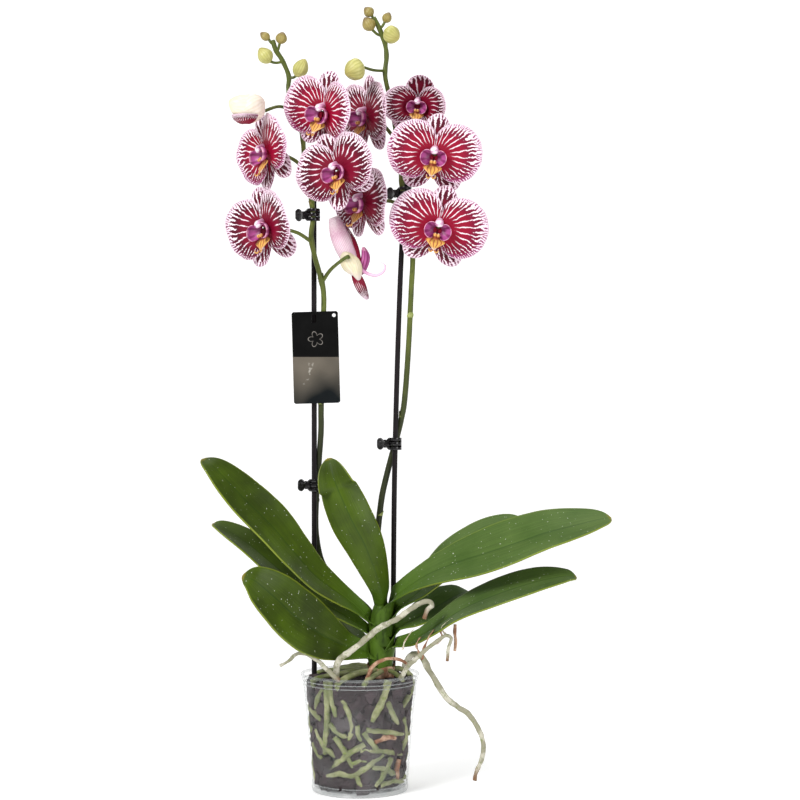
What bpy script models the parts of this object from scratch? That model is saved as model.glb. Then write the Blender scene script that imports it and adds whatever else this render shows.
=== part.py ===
"""Potted moth orchid (Phalaenopsis hybrid) in a clear nursery pot, with two staked flower spikes.

Metres, +Z up.  The origin is the middle of the pot's underside; +X is the side that the largest leaf
points to, and the flowers face -Y.  Lengths below are written in millimetres and turned to metres by MM.
"""

import math

import bmesh
import bpy
import numpy as np
from mathutils import Matrix, Vector

MM = 0.001
GAP = 0.3                     # clearance kept between pieces that touch

# Pot: a thin clear nursery pot
POT_TOP_RADIUS = 60.0
POT_BASE_RADIUS = 49.0
POT_HEIGHT = 121.0
POT_WALL = 1.2
POT_STEPS = 30
RIM_BEAD = 1.4
RIDGE_HEIGHTS = (110.6, 114.6)
RIDGE = 0.6
FOOT_WIDTH = 4.0
CHANNEL_HEIGHT = 3.0
BOSS_RADIUS = 18.0
DRAIN_SLOTS = 8
DRAIN_WIDTH = 3.2

# Bark and the roots that run between it and the wall
BARK_TOP = 110.0
BARK_CLEARANCE = 6.9
ROOT_RADIUS = 2.4
HUB_HEIGHT = 116.5

# Crown: the short stem that the leaves grow from
CROWN_CENTRE = (22.0, 0.0, 153.0)
CROWN_RADII = (12.0, 10.5, 33.0)

# Supports
STAKE_RADIUS = 2.8
SPIKE_RADIUS = 3.0
PEDICEL_RADIUS = 1.7

# Leaves and flowers
LEAF_THICKNESS = 1.8
PETAL_THICKNESS = 0.9
PETAL_LENGTH = 50.0
SEPAL_LENGTH = 42.0
HEART_RADIUS = 5.0            # where petals and sepals join in the middle of the flower

# Label card
LABEL_SIZE = (48.0, 95.0, 0.8)
LABEL_CENTRE = (-45.6, 0.9, 446.5)
LABEL_TILT = -1.6

# Claw clips
CLIP_REACH = 8.4              # radius of the ring that the prongs make round stem and stake
CLIP_THICKNESS = 1.5


# ---------------------------------------------------------------- scene and materials

def clear_scene():
    for obj in list(bpy.data.objects):
        bpy.data.objects.remove(obj, do_unlink=True)


def collection(name):
    made = bpy.data.collections.new(name)
    bpy.context.scene.collection.children.link(made)
    return made


def principled(name, colour, roughness, alpha=1.0):
    material = bpy.data.materials.new(name)
    material.use_nodes = True
    shader = material.node_tree.nodes["Principled BSDF"]
    shader.inputs["Base Color"].default_value = (*colour, 1.0)
    shader.inputs["Roughness"].default_value = roughness
    shader.inputs["Metallic"].default_value = 0.0
    shader.inputs["Alpha"].default_value = alpha
    return material


def add_mesh(name, bm, material, where):
    mesh = bpy.data.meshes.new(name)
    bm.to_mesh(mesh)
    bm.free()
    mesh.materials.append(material)
    mesh.shade_smooth()
    obj = bpy.data.objects.new(name, mesh)
    where.objects.link(obj)
    return obj


def thicken(obj, thickness):
    """Gives an open sheet a wall, half on each side of it."""
    solid = obj.modifiers.new("thickness", "SOLIDIFY")
    solid.thickness = thickness * MM
    solid.offset = 0.0
    return obj


# ---------------------------------------------------------------- routes and tubes

def smooth_route(points, count):
    """Points spaced evenly along a Catmull-Rom curve through the given ones."""
    knots = np.array(points, float)
    ends = np.vstack([2 * knots[0] - knots[1], knots, 2 * knots[-1] - knots[-2]])
    dense = []
    for i in range(len(knots) - 1):
        a, b, c, d = ends[i:i + 4]
        for t in np.linspace(0.0, 1.0, 24, endpoint=False):
            dense.append(0.5 * (2 * b + (c - a) * t + (2 * a - 5 * b + 4 * c - d) * t ** 2
                                + (3 * b - a - 3 * c + d) * t ** 3))
    dense.append(knots[-1])
    dense = np.array(dense)
    run = np.concatenate([[0.0], np.cumsum(np.linalg.norm(np.diff(dense, axis=0), axis=1))])
    even = np.linspace(0.0, run[-1], count)
    return np.column_stack([np.interp(even, run, dense[:, k]) for k in range(dense.shape[1])])


def tube_curve(name, route, radius, sides=6, taper=(1.0, 1.0)):
    """A round tube along the route, with closed ends; taper scales the radius at its two ends."""
    data = bpy.data.curves.new(name, "CURVE")
    data.dimensions = "3D"
    data.bevel_depth = radius * MM
    data.bevel_resolution = sides // 2 - 2
    data.use_fill_caps = True
    spline = data.splines.new("POLY")
    spline.points.add(len(route) - 1)
    for i, (point, place) in enumerate(zip(spline.points, route)):
        point.co = (*(Vector(place) * MM), 1.0)
        share = i / (len(route) - 1)
        point.radius = taper[0] + (taper[1] - taper[0]) * share
    return bpy.data.objects.new(name, data)


def tube(name, route, radius, material, where, sides=6, taper=(1.0, 1.0)):
    obj = tube_curve(name, route, radius, sides, taper)
    obj.data.materials.append(material)
    where.objects.link(obj)
    return obj


def solid_tube(name, route, radius, where, sides=6, taper=(1.0, 1.0)):
    """The same tube as a welded mesh, which a Boolean can use."""
    curve = tube_curve(name, route, radius, sides, taper)
    where.objects.link(curve)
    graph = bpy.context.evaluated_depsgraph_get()
    mesh = bpy.data.meshes.new_from_object(curve.evaluated_get(graph))
    bpy.data.objects.remove(curve, do_unlink=True)
    bm = bmesh.new()
    bm.from_mesh(mesh)
    bmesh.ops.remove_doubles(bm, verts=bm.verts, dist=1e-6)
    bmesh.ops.recalc_face_normals(bm, faces=bm.faces)
    bm.to_mesh(mesh)
    bm.free()
    obj = bpy.data.objects.new(name, mesh)
    where.objects.link(obj)
    return obj


def ball(name, centre, radii, where, lean=Vector((0, 0, 1)), rings=5, sides=8):
    """An egg-shaped solid whose long axis points along lean."""
    bm = bmesh.new()
    bmesh.ops.create_uvsphere(bm, u_segments=sides, v_segments=rings, radius=MM)
    turn = Vector((0, 0, 1)).rotation_difference(Vector(lean)).to_matrix().to_4x4()
    place = Matrix.Translation(Vector(centre) * MM) @ turn @ Matrix.Diagonal((*radii, 1.0))
    bmesh.ops.transform(bm, matrix=place, verts=bm.verts)
    mesh = bpy.data.meshes.new(name)
    bm.to_mesh(mesh)
    bm.free()
    obj = bpy.data.objects.new(name, mesh)
    where.objects.link(obj)
    return obj


def helper(obj, where):
    """Keeps a cutter or a joined piece out of the model itself."""
    for home in list(obj.users_collection):
        home.objects.unlink(obj)
    where.objects.link(obj)
    obj.hide_render = True
    obj.display_type = "WIRE"
    return obj


def join(base, others, helpers):
    for i, other in enumerate(others):
        union = base.modifiers.new(f"join_{i}", "BOOLEAN")
        union.operation = "UNION"
        union.solver = "EXACT"
        union.object = helper(other, helpers)


def cut(base, cutter, helpers):
    difference = base.modifiers.new("cut", "BOOLEAN")
    difference.operation = "DIFFERENCE"
    difference.solver = "EXACT"
    difference.object = helper(cutter, helpers)


# ---------------------------------------------------------------- pot, bark and stakes

def wall_radius(height):
    """Outer radius of the pot's wall at a height."""
    return POT_BASE_RADIUS + (POT_TOP_RADIUS - POT_BASE_RADIUS) * height / POT_HEIGHT


def turned(name, profile, steps, material, where):
    """A profile of (radius, height) points at +X, spun about the vertical axis."""
    bm = bmesh.new()
    rows = [bm.verts.new((r * MM, 0.0, z * MM)) for r, z in profile]
    for a, b in zip(rows, rows[1:]):
        bm.edges.new((a, b))
    obj = add_mesh(name, bm, material, where)
    screw = obj.modifiers.new("turn", "SCREW")
    screw.steps = steps
    screw.render_steps = steps
    screw.use_merge_vertices = True
    screw.merge_threshold = 1e-6
    return obj


def build_pot(materials, parts, helpers):
    top = POT_HEIGHT
    inner_top = wall_radius(top) - POT_WALL
    outside = [(0.0, CHANNEL_HEIGHT + POT_WALL), (wall_radius(CHANNEL_HEIGHT) - POT_WALL, CHANNEL_HEIGHT + POT_WALL)]
    inside_up = outside + [(inner_top - 0.3, top - 4.0), (inner_top, top)]
    rim = [(wall_radius(top) + RIM_BEAD, top), (wall_radius(top) + RIM_BEAD, top - 2.2), (wall_radius(top - 3), top - 3)]
    ridges = []
    for height in sorted(RIDGE_HEIGHTS, reverse=True):
        for rise, out in ((1.0, 0.0), (0.0, RIDGE), (-1.0, 0.0)):
            ridges.append((wall_radius(height + rise) + out, height + rise))
    foot_inner = POT_BASE_RADIUS - FOOT_WIDTH
    base = [
        (wall_radius(5.0), 5.0), (POT_BASE_RADIUS + 0.8, 3.6), (POT_BASE_RADIUS, 0.0), (foot_inner, 0.0),
        (foot_inner - 1.0, CHANNEL_HEIGHT), (BOSS_RADIUS + 1.0, CHANNEL_HEIGHT), (BOSS_RADIUS, 0.0), (0.0, 0.0),
    ]
    profile = inside_up + rim + ridges + base
    pot = turned("nursery_pot", profile, POT_STEPS, materials["pot"], parts)
    bm = bmesh.new()
    for i in range(DRAIN_SLOTS):
        turn = Matrix.Rotation(math.tau * (i + 0.5) / DRAIN_SLOTS, 4, "Z")
        middle = Matrix.Translation(Vector((POT_BASE_RADIUS, 0.0, 9.0)) * MM)
        size = Matrix.Diagonal((8.0 * MM, DRAIN_WIDTH * MM, 6.0 * MM, 1.0))
        bmesh.ops.create_cube(bm, size=1.0, matrix=turn @ middle @ size)
    cut(pot, add_mesh("drain_slots", bm, materials["pot"], parts), helpers)
    return pot


def build_bark(materials, parts, helpers, stakes):
    """A plug of bark, clear of the wall by a root's width, with the stakes' holes in it."""
    low = CHANNEL_HEIGHT + POT_WALL + GAP
    low_radius = wall_radius(low) - POT_WALL - BARK_CLEARANCE
    top_radius = wall_radius(BARK_TOP) - POT_WALL - BARK_CLEARANCE
    profile = [
        (0.0, BARK_TOP + 1.5), (top_radius * 0.5, BARK_TOP + 1.0), (top_radius - 3.0, BARK_TOP),
        (top_radius, BARK_TOP - 4.0), (low_radius, low + 2.0), (low_radius - 2.0, low), (0.0, low),
    ]
    bark = turned("bark_mix", profile, 24, materials["bark"], parts)
    for name, (route, depth) in stakes.items():
        start, end = Vector(route[0]), Vector(route[1])
        along = (end - start).normalized()
        hole_route = [start - along * GAP * 2, start + along * (POT_HEIGHT + 20.0 - depth)]
        cut(bark, solid_tube(name + "_hole", hole_route, STAKE_RADIUS + GAP + 0.15, parts, sides=10), helpers)
    return bark


# Each stake: its straight or gently bent run, and how high its foot is above the ground
LEFT_STAKE = [(-47.6, 8.0, 52.0), (-47.6, 8.0, 330.0), (-48.0, 7.0, 640.0)]
RIGHT_STAKE = [(34.0, 20.0, 30.0), (34.5, 14.5, 200.0), (36.5, 10.0, 361.0), (42.8, 5.5, 553.0), (50.0, 3.5, 645.0)]


def build_stakes(materials, parts):
    tube("support_stake_left", smooth_route(LEFT_STAKE, 6), STAKE_RADIUS, materials["stake"], parts, sides=10)
    tube("support_stake_right", smooth_route(RIGHT_STAKE, 14), STAKE_RADIUS, materials["stake"], parts, sides=10)


# ---------------------------------------------------------------- roots

# Each root inside the pot: (angle round the pot, height) stations on the way down the wall, in degrees and mm.
# -90 degrees is the side that the flowers face.
WALL_ROOTS = [
    [(-127, 112), (-127, 80), (-128, 45), (-126, 24)],
    [(-112, 112), (-116, 84), (-122, 62), (-113, 38), (-98, 20)],
    [(-66, 112), (-76, 86), (-80, 66), (-68, 52), (-46, 46)],
    [(-49, 112), (-60, 84), (-72, 60), (-92, 36), (-118, 16)],
    [(-24, 112), (-30, 84), (-44, 66), (-40, 38), (-46, 20)],
    [(2, 112), (12, 80), (-4, 50), (6, 20)],
    [(74, 112), (58, 84), (74, 52), (60, 22)],
    [(118, 112), (106, 78), (122, 48), (112, 18)],
    [(150, 112), (156, 80), (144, 50), (164, 24)],
    [(-160, 112), (-166, 80), (-154, 52), (-170, 22)],
]

# Roots that stay in the air, from the crown outward
AERIAL_ROOTS = {
    "aerial_root_front": ([(-24, -40, 121.5), (-21, -48, 138), (-8, -54, 150), (6, -56, 161), (20, -57, 173),
                           (36, -57, 181), (50, -57, 191), (62, -56, 198), (70, -55, 200), (74, -54, 196),
                           (69, -53, 191), (66, -52, 182)], 3.0, 26, (1.0, 0.75)),
    "aerial_root_left": ([(-79, -62, 136), (-70, -63, 141), (-62, -62, 148), (-52, -60, 147), (-42, -57, 141),
                          (-34, -54, 133), (-27, -52, 126), (-20, -50, 121)], 2.5, 18, (0.6, 1.0)),
    "aerial_root_hanging": ([(48, -10, 133), (56, -17, 142), (64, -24, 140), (70, -30, 129), (78, -34, 116),
                             (88, -37, 101), (100, -39, 91), (110, -40, 85), (118, -41, 74), (124, -42, 62),
                             (126, -42, 50), (124, -42, 38), (119, -41, 26), (117, -40, 17)], 2.6, 30, (1.1, 0.7)),
    "aerial_root_right": ([(42, -36, 121.5), (49, -43, 132), (59, -52, 143), (67, -56, 151), (78, -60, 160),
                           (87, -60, 166), (93, -59, 163), (90, -58, 153), (89, -58, 140)], 2.5, 20, (1.0, 0.6)),
    "aerial_root_dry": ([(8, -40, 121.5), (13, -43, 132), (23, -45, 139), (34, -44, 141), (44, -40, 138),
                         (49, -32, 133)], 2.2, 14, (1.0, 0.7)),
}


def wall_point(angle, height):
    """A point in the middle of the space between bark and wall."""
    radius = wall_radius(height) - POT_WALL - BARK_CLEARANCE / 2 - 0.2
    turn = math.radians(angle)
    return (radius * math.cos(turn), radius * math.sin(turn), height)


def build_root_mass(materials, parts, helpers):
    """Roots that leave the crown's foot, cross the bark and run down inside the wall, joined as one."""
    cx, cy, _ = CROWN_CENTRE
    base = ball("root_mass", (cx, cy, HUB_HEIGHT), (15.0, 12.0, 2.7), parts, rings=5, sides=10)
    base.data.materials.append(materials["root"])
    pieces = []
    for i, stations in enumerate(WALL_ROOTS):
        first = Vector(wall_point(stations[0][0], HUB_HEIGHT))
        hub = Vector((cx, cy, HUB_HEIGHT))
        route = [hub.lerp(first, 0.06), hub.lerp(first, 0.6), hub.lerp(first, 0.93) - Vector((0, 0, 1.0))]
        route += [wall_point(angle, height - 4.0) for angle, height in stations]
        pieces.append(solid_tube(f"wall_root_{i}", smooth_route(route, 11), ROOT_RADIUS, parts, taper=(1.0, 0.75)))
    join(base, pieces, helpers)


def build_aerial_roots(materials, parts):
    for name, (route, radius, count, taper) in AERIAL_ROOTS.items():
        tube(name, smooth_route(route, count), radius, materials["root"], parts, taper=taper)


# ---------------------------------------------------------------- crown and leaves

def build_crown(materials, parts):
    crown = ball("crown", CROWN_CENTRE, CROWN_RADII, parts, rings=7, sides=12)
    crown.data.materials.append(materials["crown"])


# Each leaf: midrib from base to tip, half its width, the direction across it at base and tip,
# and how far its halves fold up along the midrib
LEAVES = {
    "leaf_left_upper": ([(7, -4, 178), (-12, -18, 197), (-43, -42, 223), (-66, -56, 250), (-88, -64, 277),
                         (-116, -70, 305), (-144, -67, 334), (-157, -62, 343)],
                        28, (0.35, 0.85, 0.40), (0.45, 0.75, 0.45), 0.16),
    "leaf_left_middle": ([(8, 0, 162), (-14, -9, 179), (-50, -20, 201), (-82, -26, 229), (-113, -30, 255),
                          (-141, -28, 273), (-150, -26, 276)],
                         25, (0.30, 0.90, 0.30), (0.30, 0.88, 0.38), 0.16),
    "leaf_left_front": ([(8, -5, 143), (-16, -25, 152), (-40, -56, 168), (-62, -82, 187), (-82, -100, 208),
                         (-101, -108, 225), (-113, -108, 229)],
                        30, (0.45, 0.75, 0.50), (0.60, 0.60, 0.52), 0.12),
    "leaf_left_back": ([(6, 5, 147), (-14, 24, 160), (-33, 52, 180), (-46, 80, 202), (-56, 102, 215)],
                       26, (0.75, 0.45, 0.35), (0.80, 0.50, 0.30), 0.14),
    "leaf_upright": ([(24, -2, 189), (22, -14, 206), (15, -25, 230), (5, -33, 256), (-7, -37, 279),
                      (-17, -38, 301), (-25, -37, 321), (-31, -31, 343)],
                     22, (0.92, 0.30, 0.20), (0.90, -0.20, 0.25), 0.34),
    "leaf_right_large": ([(37, -4, 200), (65, -18, 221), (96, -34, 236), (126, -50, 247), (156, -62, 258),
                          (186, -70, 269), (216, -74, 277), (240, -74, 283), (252, -72, 285)],
                         36, (0.10, 0.68, 0.73), (0.00, 0.88, 0.45), 0.13),
    "leaf_right_behind": ([(40, 1, 188), (60, 10, 202), (82, 26, 222), (104, 42, 243), (132, 52, 260),
                           (160, 58, 269), (178, 60, 266)],
                          30, (-0.15, 0.85, 0.45), (0.00, 0.90, 0.40), 0.12),
    "leaf_right_lower": ([(37, -5, 150), (56, -20, 157), (78, -36, 172), (107, -55, 193), (146, -72, 211),
                          (184, -80, 223), (208, -79, 227), (217, -77, 225)],
                         26, (0.10, 0.85, 0.50), (0.05, 0.90, 0.40), 0.14),
    "leaf_right_back": ([(38, 4, 166), (58, 14, 175), (82, 29, 187), (104, 47, 197), (116, 59, 198)],
                        24, (-0.30, 0.75, 0.50), (-0.30, 0.80, 0.30), 0.14),
}
LEAF_ROWS = 10
LEAF_COLUMNS = 4


def leaf_width(share):
    """Strap-shaped outline: a clasping base, widest past the middle, and a blunt tip."""
    base = 0.30 + 0.70 * math.sin(min(share / 0.62, 1.0) * math.pi / 2) ** 1.3
    tip = max(1.0 - max((share - 0.55) / 0.45, 0.0) ** 2.6, 0.0) ** 0.55
    return max(base * tip, 0.03)


def build_leaf(name, rib, half_width, across_base, across_tip, fold, materials, parts):
    bm = bmesh.new()
    bmesh.ops.create_grid(bm, x_segments=LEAF_COLUMNS, y_segments=LEAF_ROWS, size=1.0)
    bm.verts.ensure_lookup_table()
    route = smooth_route(rib, 61)
    for vert in bm.verts:
        side = vert.co.x
        share = (vert.co.y + 1.0) / 2
        share = 1.0 - (1.0 - share) ** 1.25
        place = share * 60
        low = min(int(place), 59)
        middle = Vector(route[low]).lerp(Vector(route[low + 1]), place - low)
        along = Vector(route[min(low + 2, 60)] - route[max(low - 1, 0)]).normalized()
        across = Vector(across_base).lerp(Vector(across_tip), share)
        across = (across - along * across.dot(along)).normalized()
        up = along.cross(across)
        if up.z < 0:
            up = -up
        width = half_width * leaf_width(share)
        lift = fold * width * abs(side) ** 1.5
        vert.co = (middle + across * width * side + up * lift) * MM
    bmesh.ops.recalc_face_normals(bm, faces=bm.faces)
    return thicken(add_mesh(name, bm, materials["leaf"], parts), LEAF_THICKNESS)


# ---------------------------------------------------------------- flowers

# Each flower: heart of the flower, the way it faces (turned to -X, tipped down, rolled to +X),
# how far its left and right petals swing forward, and its size
FLOWERS = {
    "flower_1": ((-36, -46, 694), 36, 8, 14, 4, 22, 0.99),
    "flower_2": ((-21, -70, 632), 30, 8, -14, 2, 12, 0.97),
    "flower_3": ((-96, -20, 656), 52, 8, -17, 4, 10, 0.98),
    "flower_4": ((-96, -40, 577), 36, 8, -12, 2, 22, 1.02),
    "flower_5": ((6, 4, 697), 56, 4, 4, 2, 8, 1.00),
    "flower_6": ((3, -24, 605), 54, 6, 2, 2, 6, 1.00),
    "flower_9": ((76, -50, 650), 4, 8, 7, 14, 6, 0.99),
    "flower_10": ((80, -47, 577), 0, 8, 13, 4, 4, 1.03),
}
# Half-open flowers: the same heart, facing and swings, then each lobe's direction, length and
# narrowness, how far the lobes bow, the lip's size and where it sits. flower_7 is seen from behind, one petal up.
HALF_OPEN = {
    "flower_7": ((-11, -18, 548), -165, 0, 0, 0, 0,
                 ((21, 46, 10), (-156, 42, 12), (90, 9, 1), (-90, 15, 1), (180, 16, 1), (0, 16, 1)),
                 -4.0, 0.60, (-15.0, 0.0, 4.0)),
    "flower_8": ((60, -12, 707), 8, 14, 6, 44, 34,
                 ((0, 33, 2), (142, 33, 2), (-142, 33, 2), (-80, 39, 1.2), (80, 39, 1.2)),
                 -8.0, 0.48, (0.0, -9.0, 0.0)),
}
HALF_OPEN_RAYS = 36
SEPAL_TWIST = {"flower_2": -15.0}
PETAL_ANGLES = (-80.0, 80.0)
SEPAL_ANGLES = (0.0, 142.0, -142.0)
PETAL_ROUNDNESS = 0.55
SEPAL_ROUNDNESS = 3.0
RAYS = 22
RINGS = 2


def flower_frame(centre, turn, tip, roll):
    """Local -Y is the way the flower faces, local +Z its upper sepal."""
    place = Matrix.Translation(Vector(centre) * MM)
    return (place @ Matrix.Rotation(math.radians(-turn), 4, "Z") @ Matrix.Rotation(math.radians(tip), 4, "X")
            @ Matrix.Rotation(math.radians(roll), 4, "Y"))


def lobe_radius(angle, lobes):
    """Outline of a ring of lobes: the furthest lobe reached at an angle from straight up."""
    reach = HEART_RADIUS
    for middle, length, roundness in lobes:
        facing = math.cos(math.radians(angle - middle))
        if facing > 0:
            reach = max(reach, length * facing ** roundness)
    return reach


def lobed_sheet(name, lobes, depth, frame, material, parts, rays=RAYS):
    """A round web of rays and rings, drawn out to the lobes' outline and set to its depth."""
    bm = bmesh.new()
    bmesh.ops.create_circle(bm, cap_ends=True, cap_tris=True, segments=rays, radius=1.0)
    rim = [edge for edge in bm.edges if edge.is_boundary]
    for ring in range(1, RINGS):
        grown = bmesh.ops.extrude_edge_only(bm, edges=rim)["geom"]
        moved = [item for item in grown if isinstance(item, bmesh.types.BMVert)]
        for vert in moved:
            vert.co *= (ring + 1) / ring
        rim = [item for item in grown if isinstance(item, bmesh.types.BMEdge) and item.is_boundary]
    for vert in bm.verts:
        share = vert.co.length / RINGS
        angle = math.degrees(math.atan2(vert.co.x, vert.co.y))
        reach = share * lobe_radius(angle, lobes)
        x = reach * math.sin(math.radians(angle))
        z = reach * math.cos(math.radians(angle))
        vert.co = Vector((x, 0.0, z)) * MM
        vert.co = depth(vert.co)
    bmesh.ops.recalc_face_normals(bm, faces=bm.faces)
    bmesh.ops.transform(bm, matrix=frame, verts=bm.verts)
    return thicken(add_mesh(name, bm, material, parts), PETAL_THICKNESS)


def swung(left, right, back, bow):
    """Petals swing forward about the flower's upright axis by their own angles, and bow back at the edge."""
    def depth(point):
        angle = math.radians(left if point.x < 0 else right)
        reach = abs(point.x)
        spread = (point.x ** 2 + point.z ** 2) / MM
        return Vector((point.x * math.cos(angle), back * MM - reach * math.sin(angle) + bow * spread * 0.001, point.z))
    return depth


def build_lip(name, frame, size, material, parts):
    """Lip and column: side lobes beside the throat, and a forked middle lobe that hangs forward."""
    bm = bmesh.new()
    bmesh.ops.create_uvsphere(bm, u_segments=8, v_segments=6, radius=1.0)
    for vert in bm.verts:
        x, y, z = vert.co
        spread = 11.0 if z > -0.2 else 7.0
        vert.co = Vector((x * spread, -11.0 + y * (7.5 - 1.5 * z), -6.0 + z * 12.0 - 3.0 * x * x)) * size * MM
    bmesh.ops.recalc_face_normals(bm, faces=bm.faces)
    bmesh.ops.transform(bm, matrix=frame, verts=bm.verts)
    return add_mesh(name, bm, material, parts)


def build_flowers(materials, parts):
    for name, (centre, turn, tip, roll, left, right, size) in FLOWERS.items():
        frame = flower_frame(centre, turn, tip, roll)
        twist = SEPAL_TWIST.get(name, 0.0)
        sepals = [(angle + twist, SEPAL_LENGTH * size, SEPAL_ROUNDNESS) for angle in SEPAL_ANGLES]
        petals = [(angle, PETAL_LENGTH * size, PETAL_ROUNDNESS) for angle in PETAL_ANGLES]
        lobed_sheet(name + "_sepals", sepals, swung(0, 0, 1.8, 1.2), frame, materials["petal"], parts)
        lobed_sheet(name + "_petals", petals, swung(left, right, -0.4, 0.0), frame, materials["petal"], parts)
        build_lip(name + "_lip", frame, size, materials["lip"], parts)
    for name, (centre, turn, tip, roll, left, right, lobes, bow, lip_size, lip_shift) in HALF_OPEN.items():
        frame = flower_frame(centre, turn, tip, roll)
        lobed_sheet(name + "_tepals", lobes, swung(left, right, 0.0, bow), frame, materials["petal"], parts,
                    HALF_OPEN_RAYS)
        build_lip(name + "_lip", frame @ Matrix.Translation(Vector(lip_shift) * MM), lip_size, materials["lip"], parts)


# ---------------------------------------------------------------- flower spikes

LEFT_SPIKE = [(16, 15, 150), (11, 15, 180), (-16, 12, 206), (-38, 13, 230), (-46, 15.8, 262), (-46, 15.8, 298), (-43.5, 13, 332),
              (-40.6, 8, 371), (-40.4, 6, 402), (-38.5, 5.5, 475), (-37.6, 4, 511), (-41, 0.5, 530), (-47, -1.5, 552),
              (-50.5, -1.5, 572), (-48.5, -0.5, 592), (-51, -2, 614), (-57, -4, 650), (-59.5, -4, 676),
              (-65, -4, 694), (-72, -4, 709), (-74, -3, 725), (-73.5, -3, 737), (-80, -3, 753), (-87, -3, 764),
              (-90, -3, 774)]
RIGHT_SPIKE = [(27, 14.5, 150), (24, 15, 190), (17.5, 16, 236), (17.5, 17, 257), (22, 17.5, 298), (27, 17.5, 322), (33, 17.5, 345),
               (38, 17, 363), (43, 14, 384), (46.3, 11, 404), (50, 5, 454), (53, 1, 516), (54.5, -1, 552),
               (51, -3, 583), (44.5, -4.5, 614), (41.5, -5, 645), (36, -5, 686), (30, -5, 717), (26, -5, 738), (27.5, -5, 756),
               (26, -5, 769), (20, -5, 786), (14, -5, 797)]

# Which flower hangs from which height of which spike
PEDICELS = {
    "left": {"flower_7": 524, "flower_4": 566, "flower_2": 606, "flower_3": 640, "flower_1": 672},
    "right": {"flower_10": 560, "flower_6": 600, "flower_9": 628, "flower_5": 668, "flower_8": 696},
}

# Buds: centre, half sizes (across, across, along), the way the tip points, and the height it leaves its spike
BUDS = {
    "left": [
        ((-61, -5, 745), (8.0, 7.5, 10.5), (0.5, 0.0, 1.0), 736),
        ((-98, -5, 758), (8.0, 7.5, 9.5), (-0.6, 0.0, 0.8), 752),
        ((-81, -5, 776), (6.0, 5.5, 6.5), (0.3, 0.0, 1.0), 762),
        ((-98, -4, 778), (4.5, 4.5, 6.0), (-0.8, 0.0, 0.6), 770),
    ],
    "right": [
        ((-5, -36, 738), (12.0, 11.0, 11.5), (-0.7, -0.4, -0.4), 742),
        ((33, -12, 778), (10.0, 9.0, 9.5), (0.6, -0.3, -0.4), 758),
        ((9, -7, 790), (7.0, 6.5, 8.0), (-0.5, 0.0, 0.8), 778),
        ((28, -5, 797), (5.0, 5.0, 6.0), (0.4, 0.0, 0.8), 786),
        ((9, -5, 803), (5.5, 5.5, 6.0), (-0.7, 0.0, 0.7), 796),
    ],
}
OPENING_BUD = ((-113, -46, 697), (16.0, 15.0, 19.0), (-0.9, -0.3, 0.1))
OPENING_BUD_HEIGHT = 702


def point_at_height(route, height):
    """Where a rising route passes a height."""
    for low, high in zip(route, route[1:]):
        if low[2] <= height <= high[2]:
            return Vector(low).lerp(Vector(high), (height - low[2]) / (high[2] - low[2]))
    return Vector(route[-1])


def pedicel_route(start, end, back):
    """Leaves the stem upward, and comes to the flower from behind."""
    lean = (end - start) * 0.35 + Vector((0, 0, 5.0))
    return smooth_route([start, start + lean, end + back * 9.0, end], 7)


def build_spike(name, route, pedicels, buds, material, parts, helpers, extra_end=None):
    dense = smooth_route(route, 40)
    stem = solid_tube(name, dense, SPIKE_RADIUS, parts, taper=(1.05, 0.5))
    stem.data.materials.append(material)
    pieces = []
    flowers = {**FLOWERS, **HALF_OPEN}
    for flower, height in pedicels.items():
        centre, turn, tip, roll = flowers[flower][:4]
        frame = flower_frame(centre, turn, tip, roll)
        back = (frame.to_3x3() @ Vector((0, 1, 0))).normalized()
        end = Vector(centre) + back * (1.8 + PETAL_THICKNESS / 2 + GAP + 0.4)
        run = pedicel_route(point_at_height(dense, height), end, back)
        pieces.append(solid_tube(name + "_to_" + flower, run, PEDICEL_RADIUS, parts, taper=(1.2, 1.0)))
    for i, (centre, radii, lean, height) in enumerate(buds):
        centre = Vector(centre)
        lean = Vector(lean).normalized()
        foot = centre - lean * radii[2] * 0.7
        start = point_at_height(dense, height)
        run = smooth_route([start, start.lerp(foot, 0.5) + Vector((0, 0, -1.5)), foot], 4)
        pieces.append(solid_tube(f"{name}_bud_stalk_{i}", run, PEDICEL_RADIUS * 0.8, parts))
        pieces.append(ball(f"{name}_bud_{i}", centre, radii, parts, lean))
    if extra_end is not None:
        start = point_at_height(dense, OPENING_BUD_HEIGHT)
        run = smooth_route([start, start.lerp(extra_end, 0.5) + Vector((0, 0, 4.0)), extra_end], 6)
        pieces.append(solid_tube(name + "_opening_bud_stalk", run, PEDICEL_RADIUS, parts))
    join(stem, pieces, helpers)


def build_spikes(materials, parts, helpers):
    centre, radii, lean = OPENING_BUD
    lean = Vector(lean).normalized()
    bud = ball("opening_bud", centre, radii, parts, lean, rings=6, sides=10)
    bud.data.materials.append(materials["bud"])
    bud_foot = Vector(centre) - lean * (radii[2] + GAP + 0.6)
    build_spike("flower_spike_left", LEFT_SPIKE, PEDICELS["left"], BUDS["left"], materials["spike"], parts, helpers,
                bud_foot)
    build_spike("flower_spike_right", RIGHT_SPIKE, PEDICELS["right"], BUDS["right"], materials["spike"], parts, helpers)


# ---------------------------------------------------------------- label and clips

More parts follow.
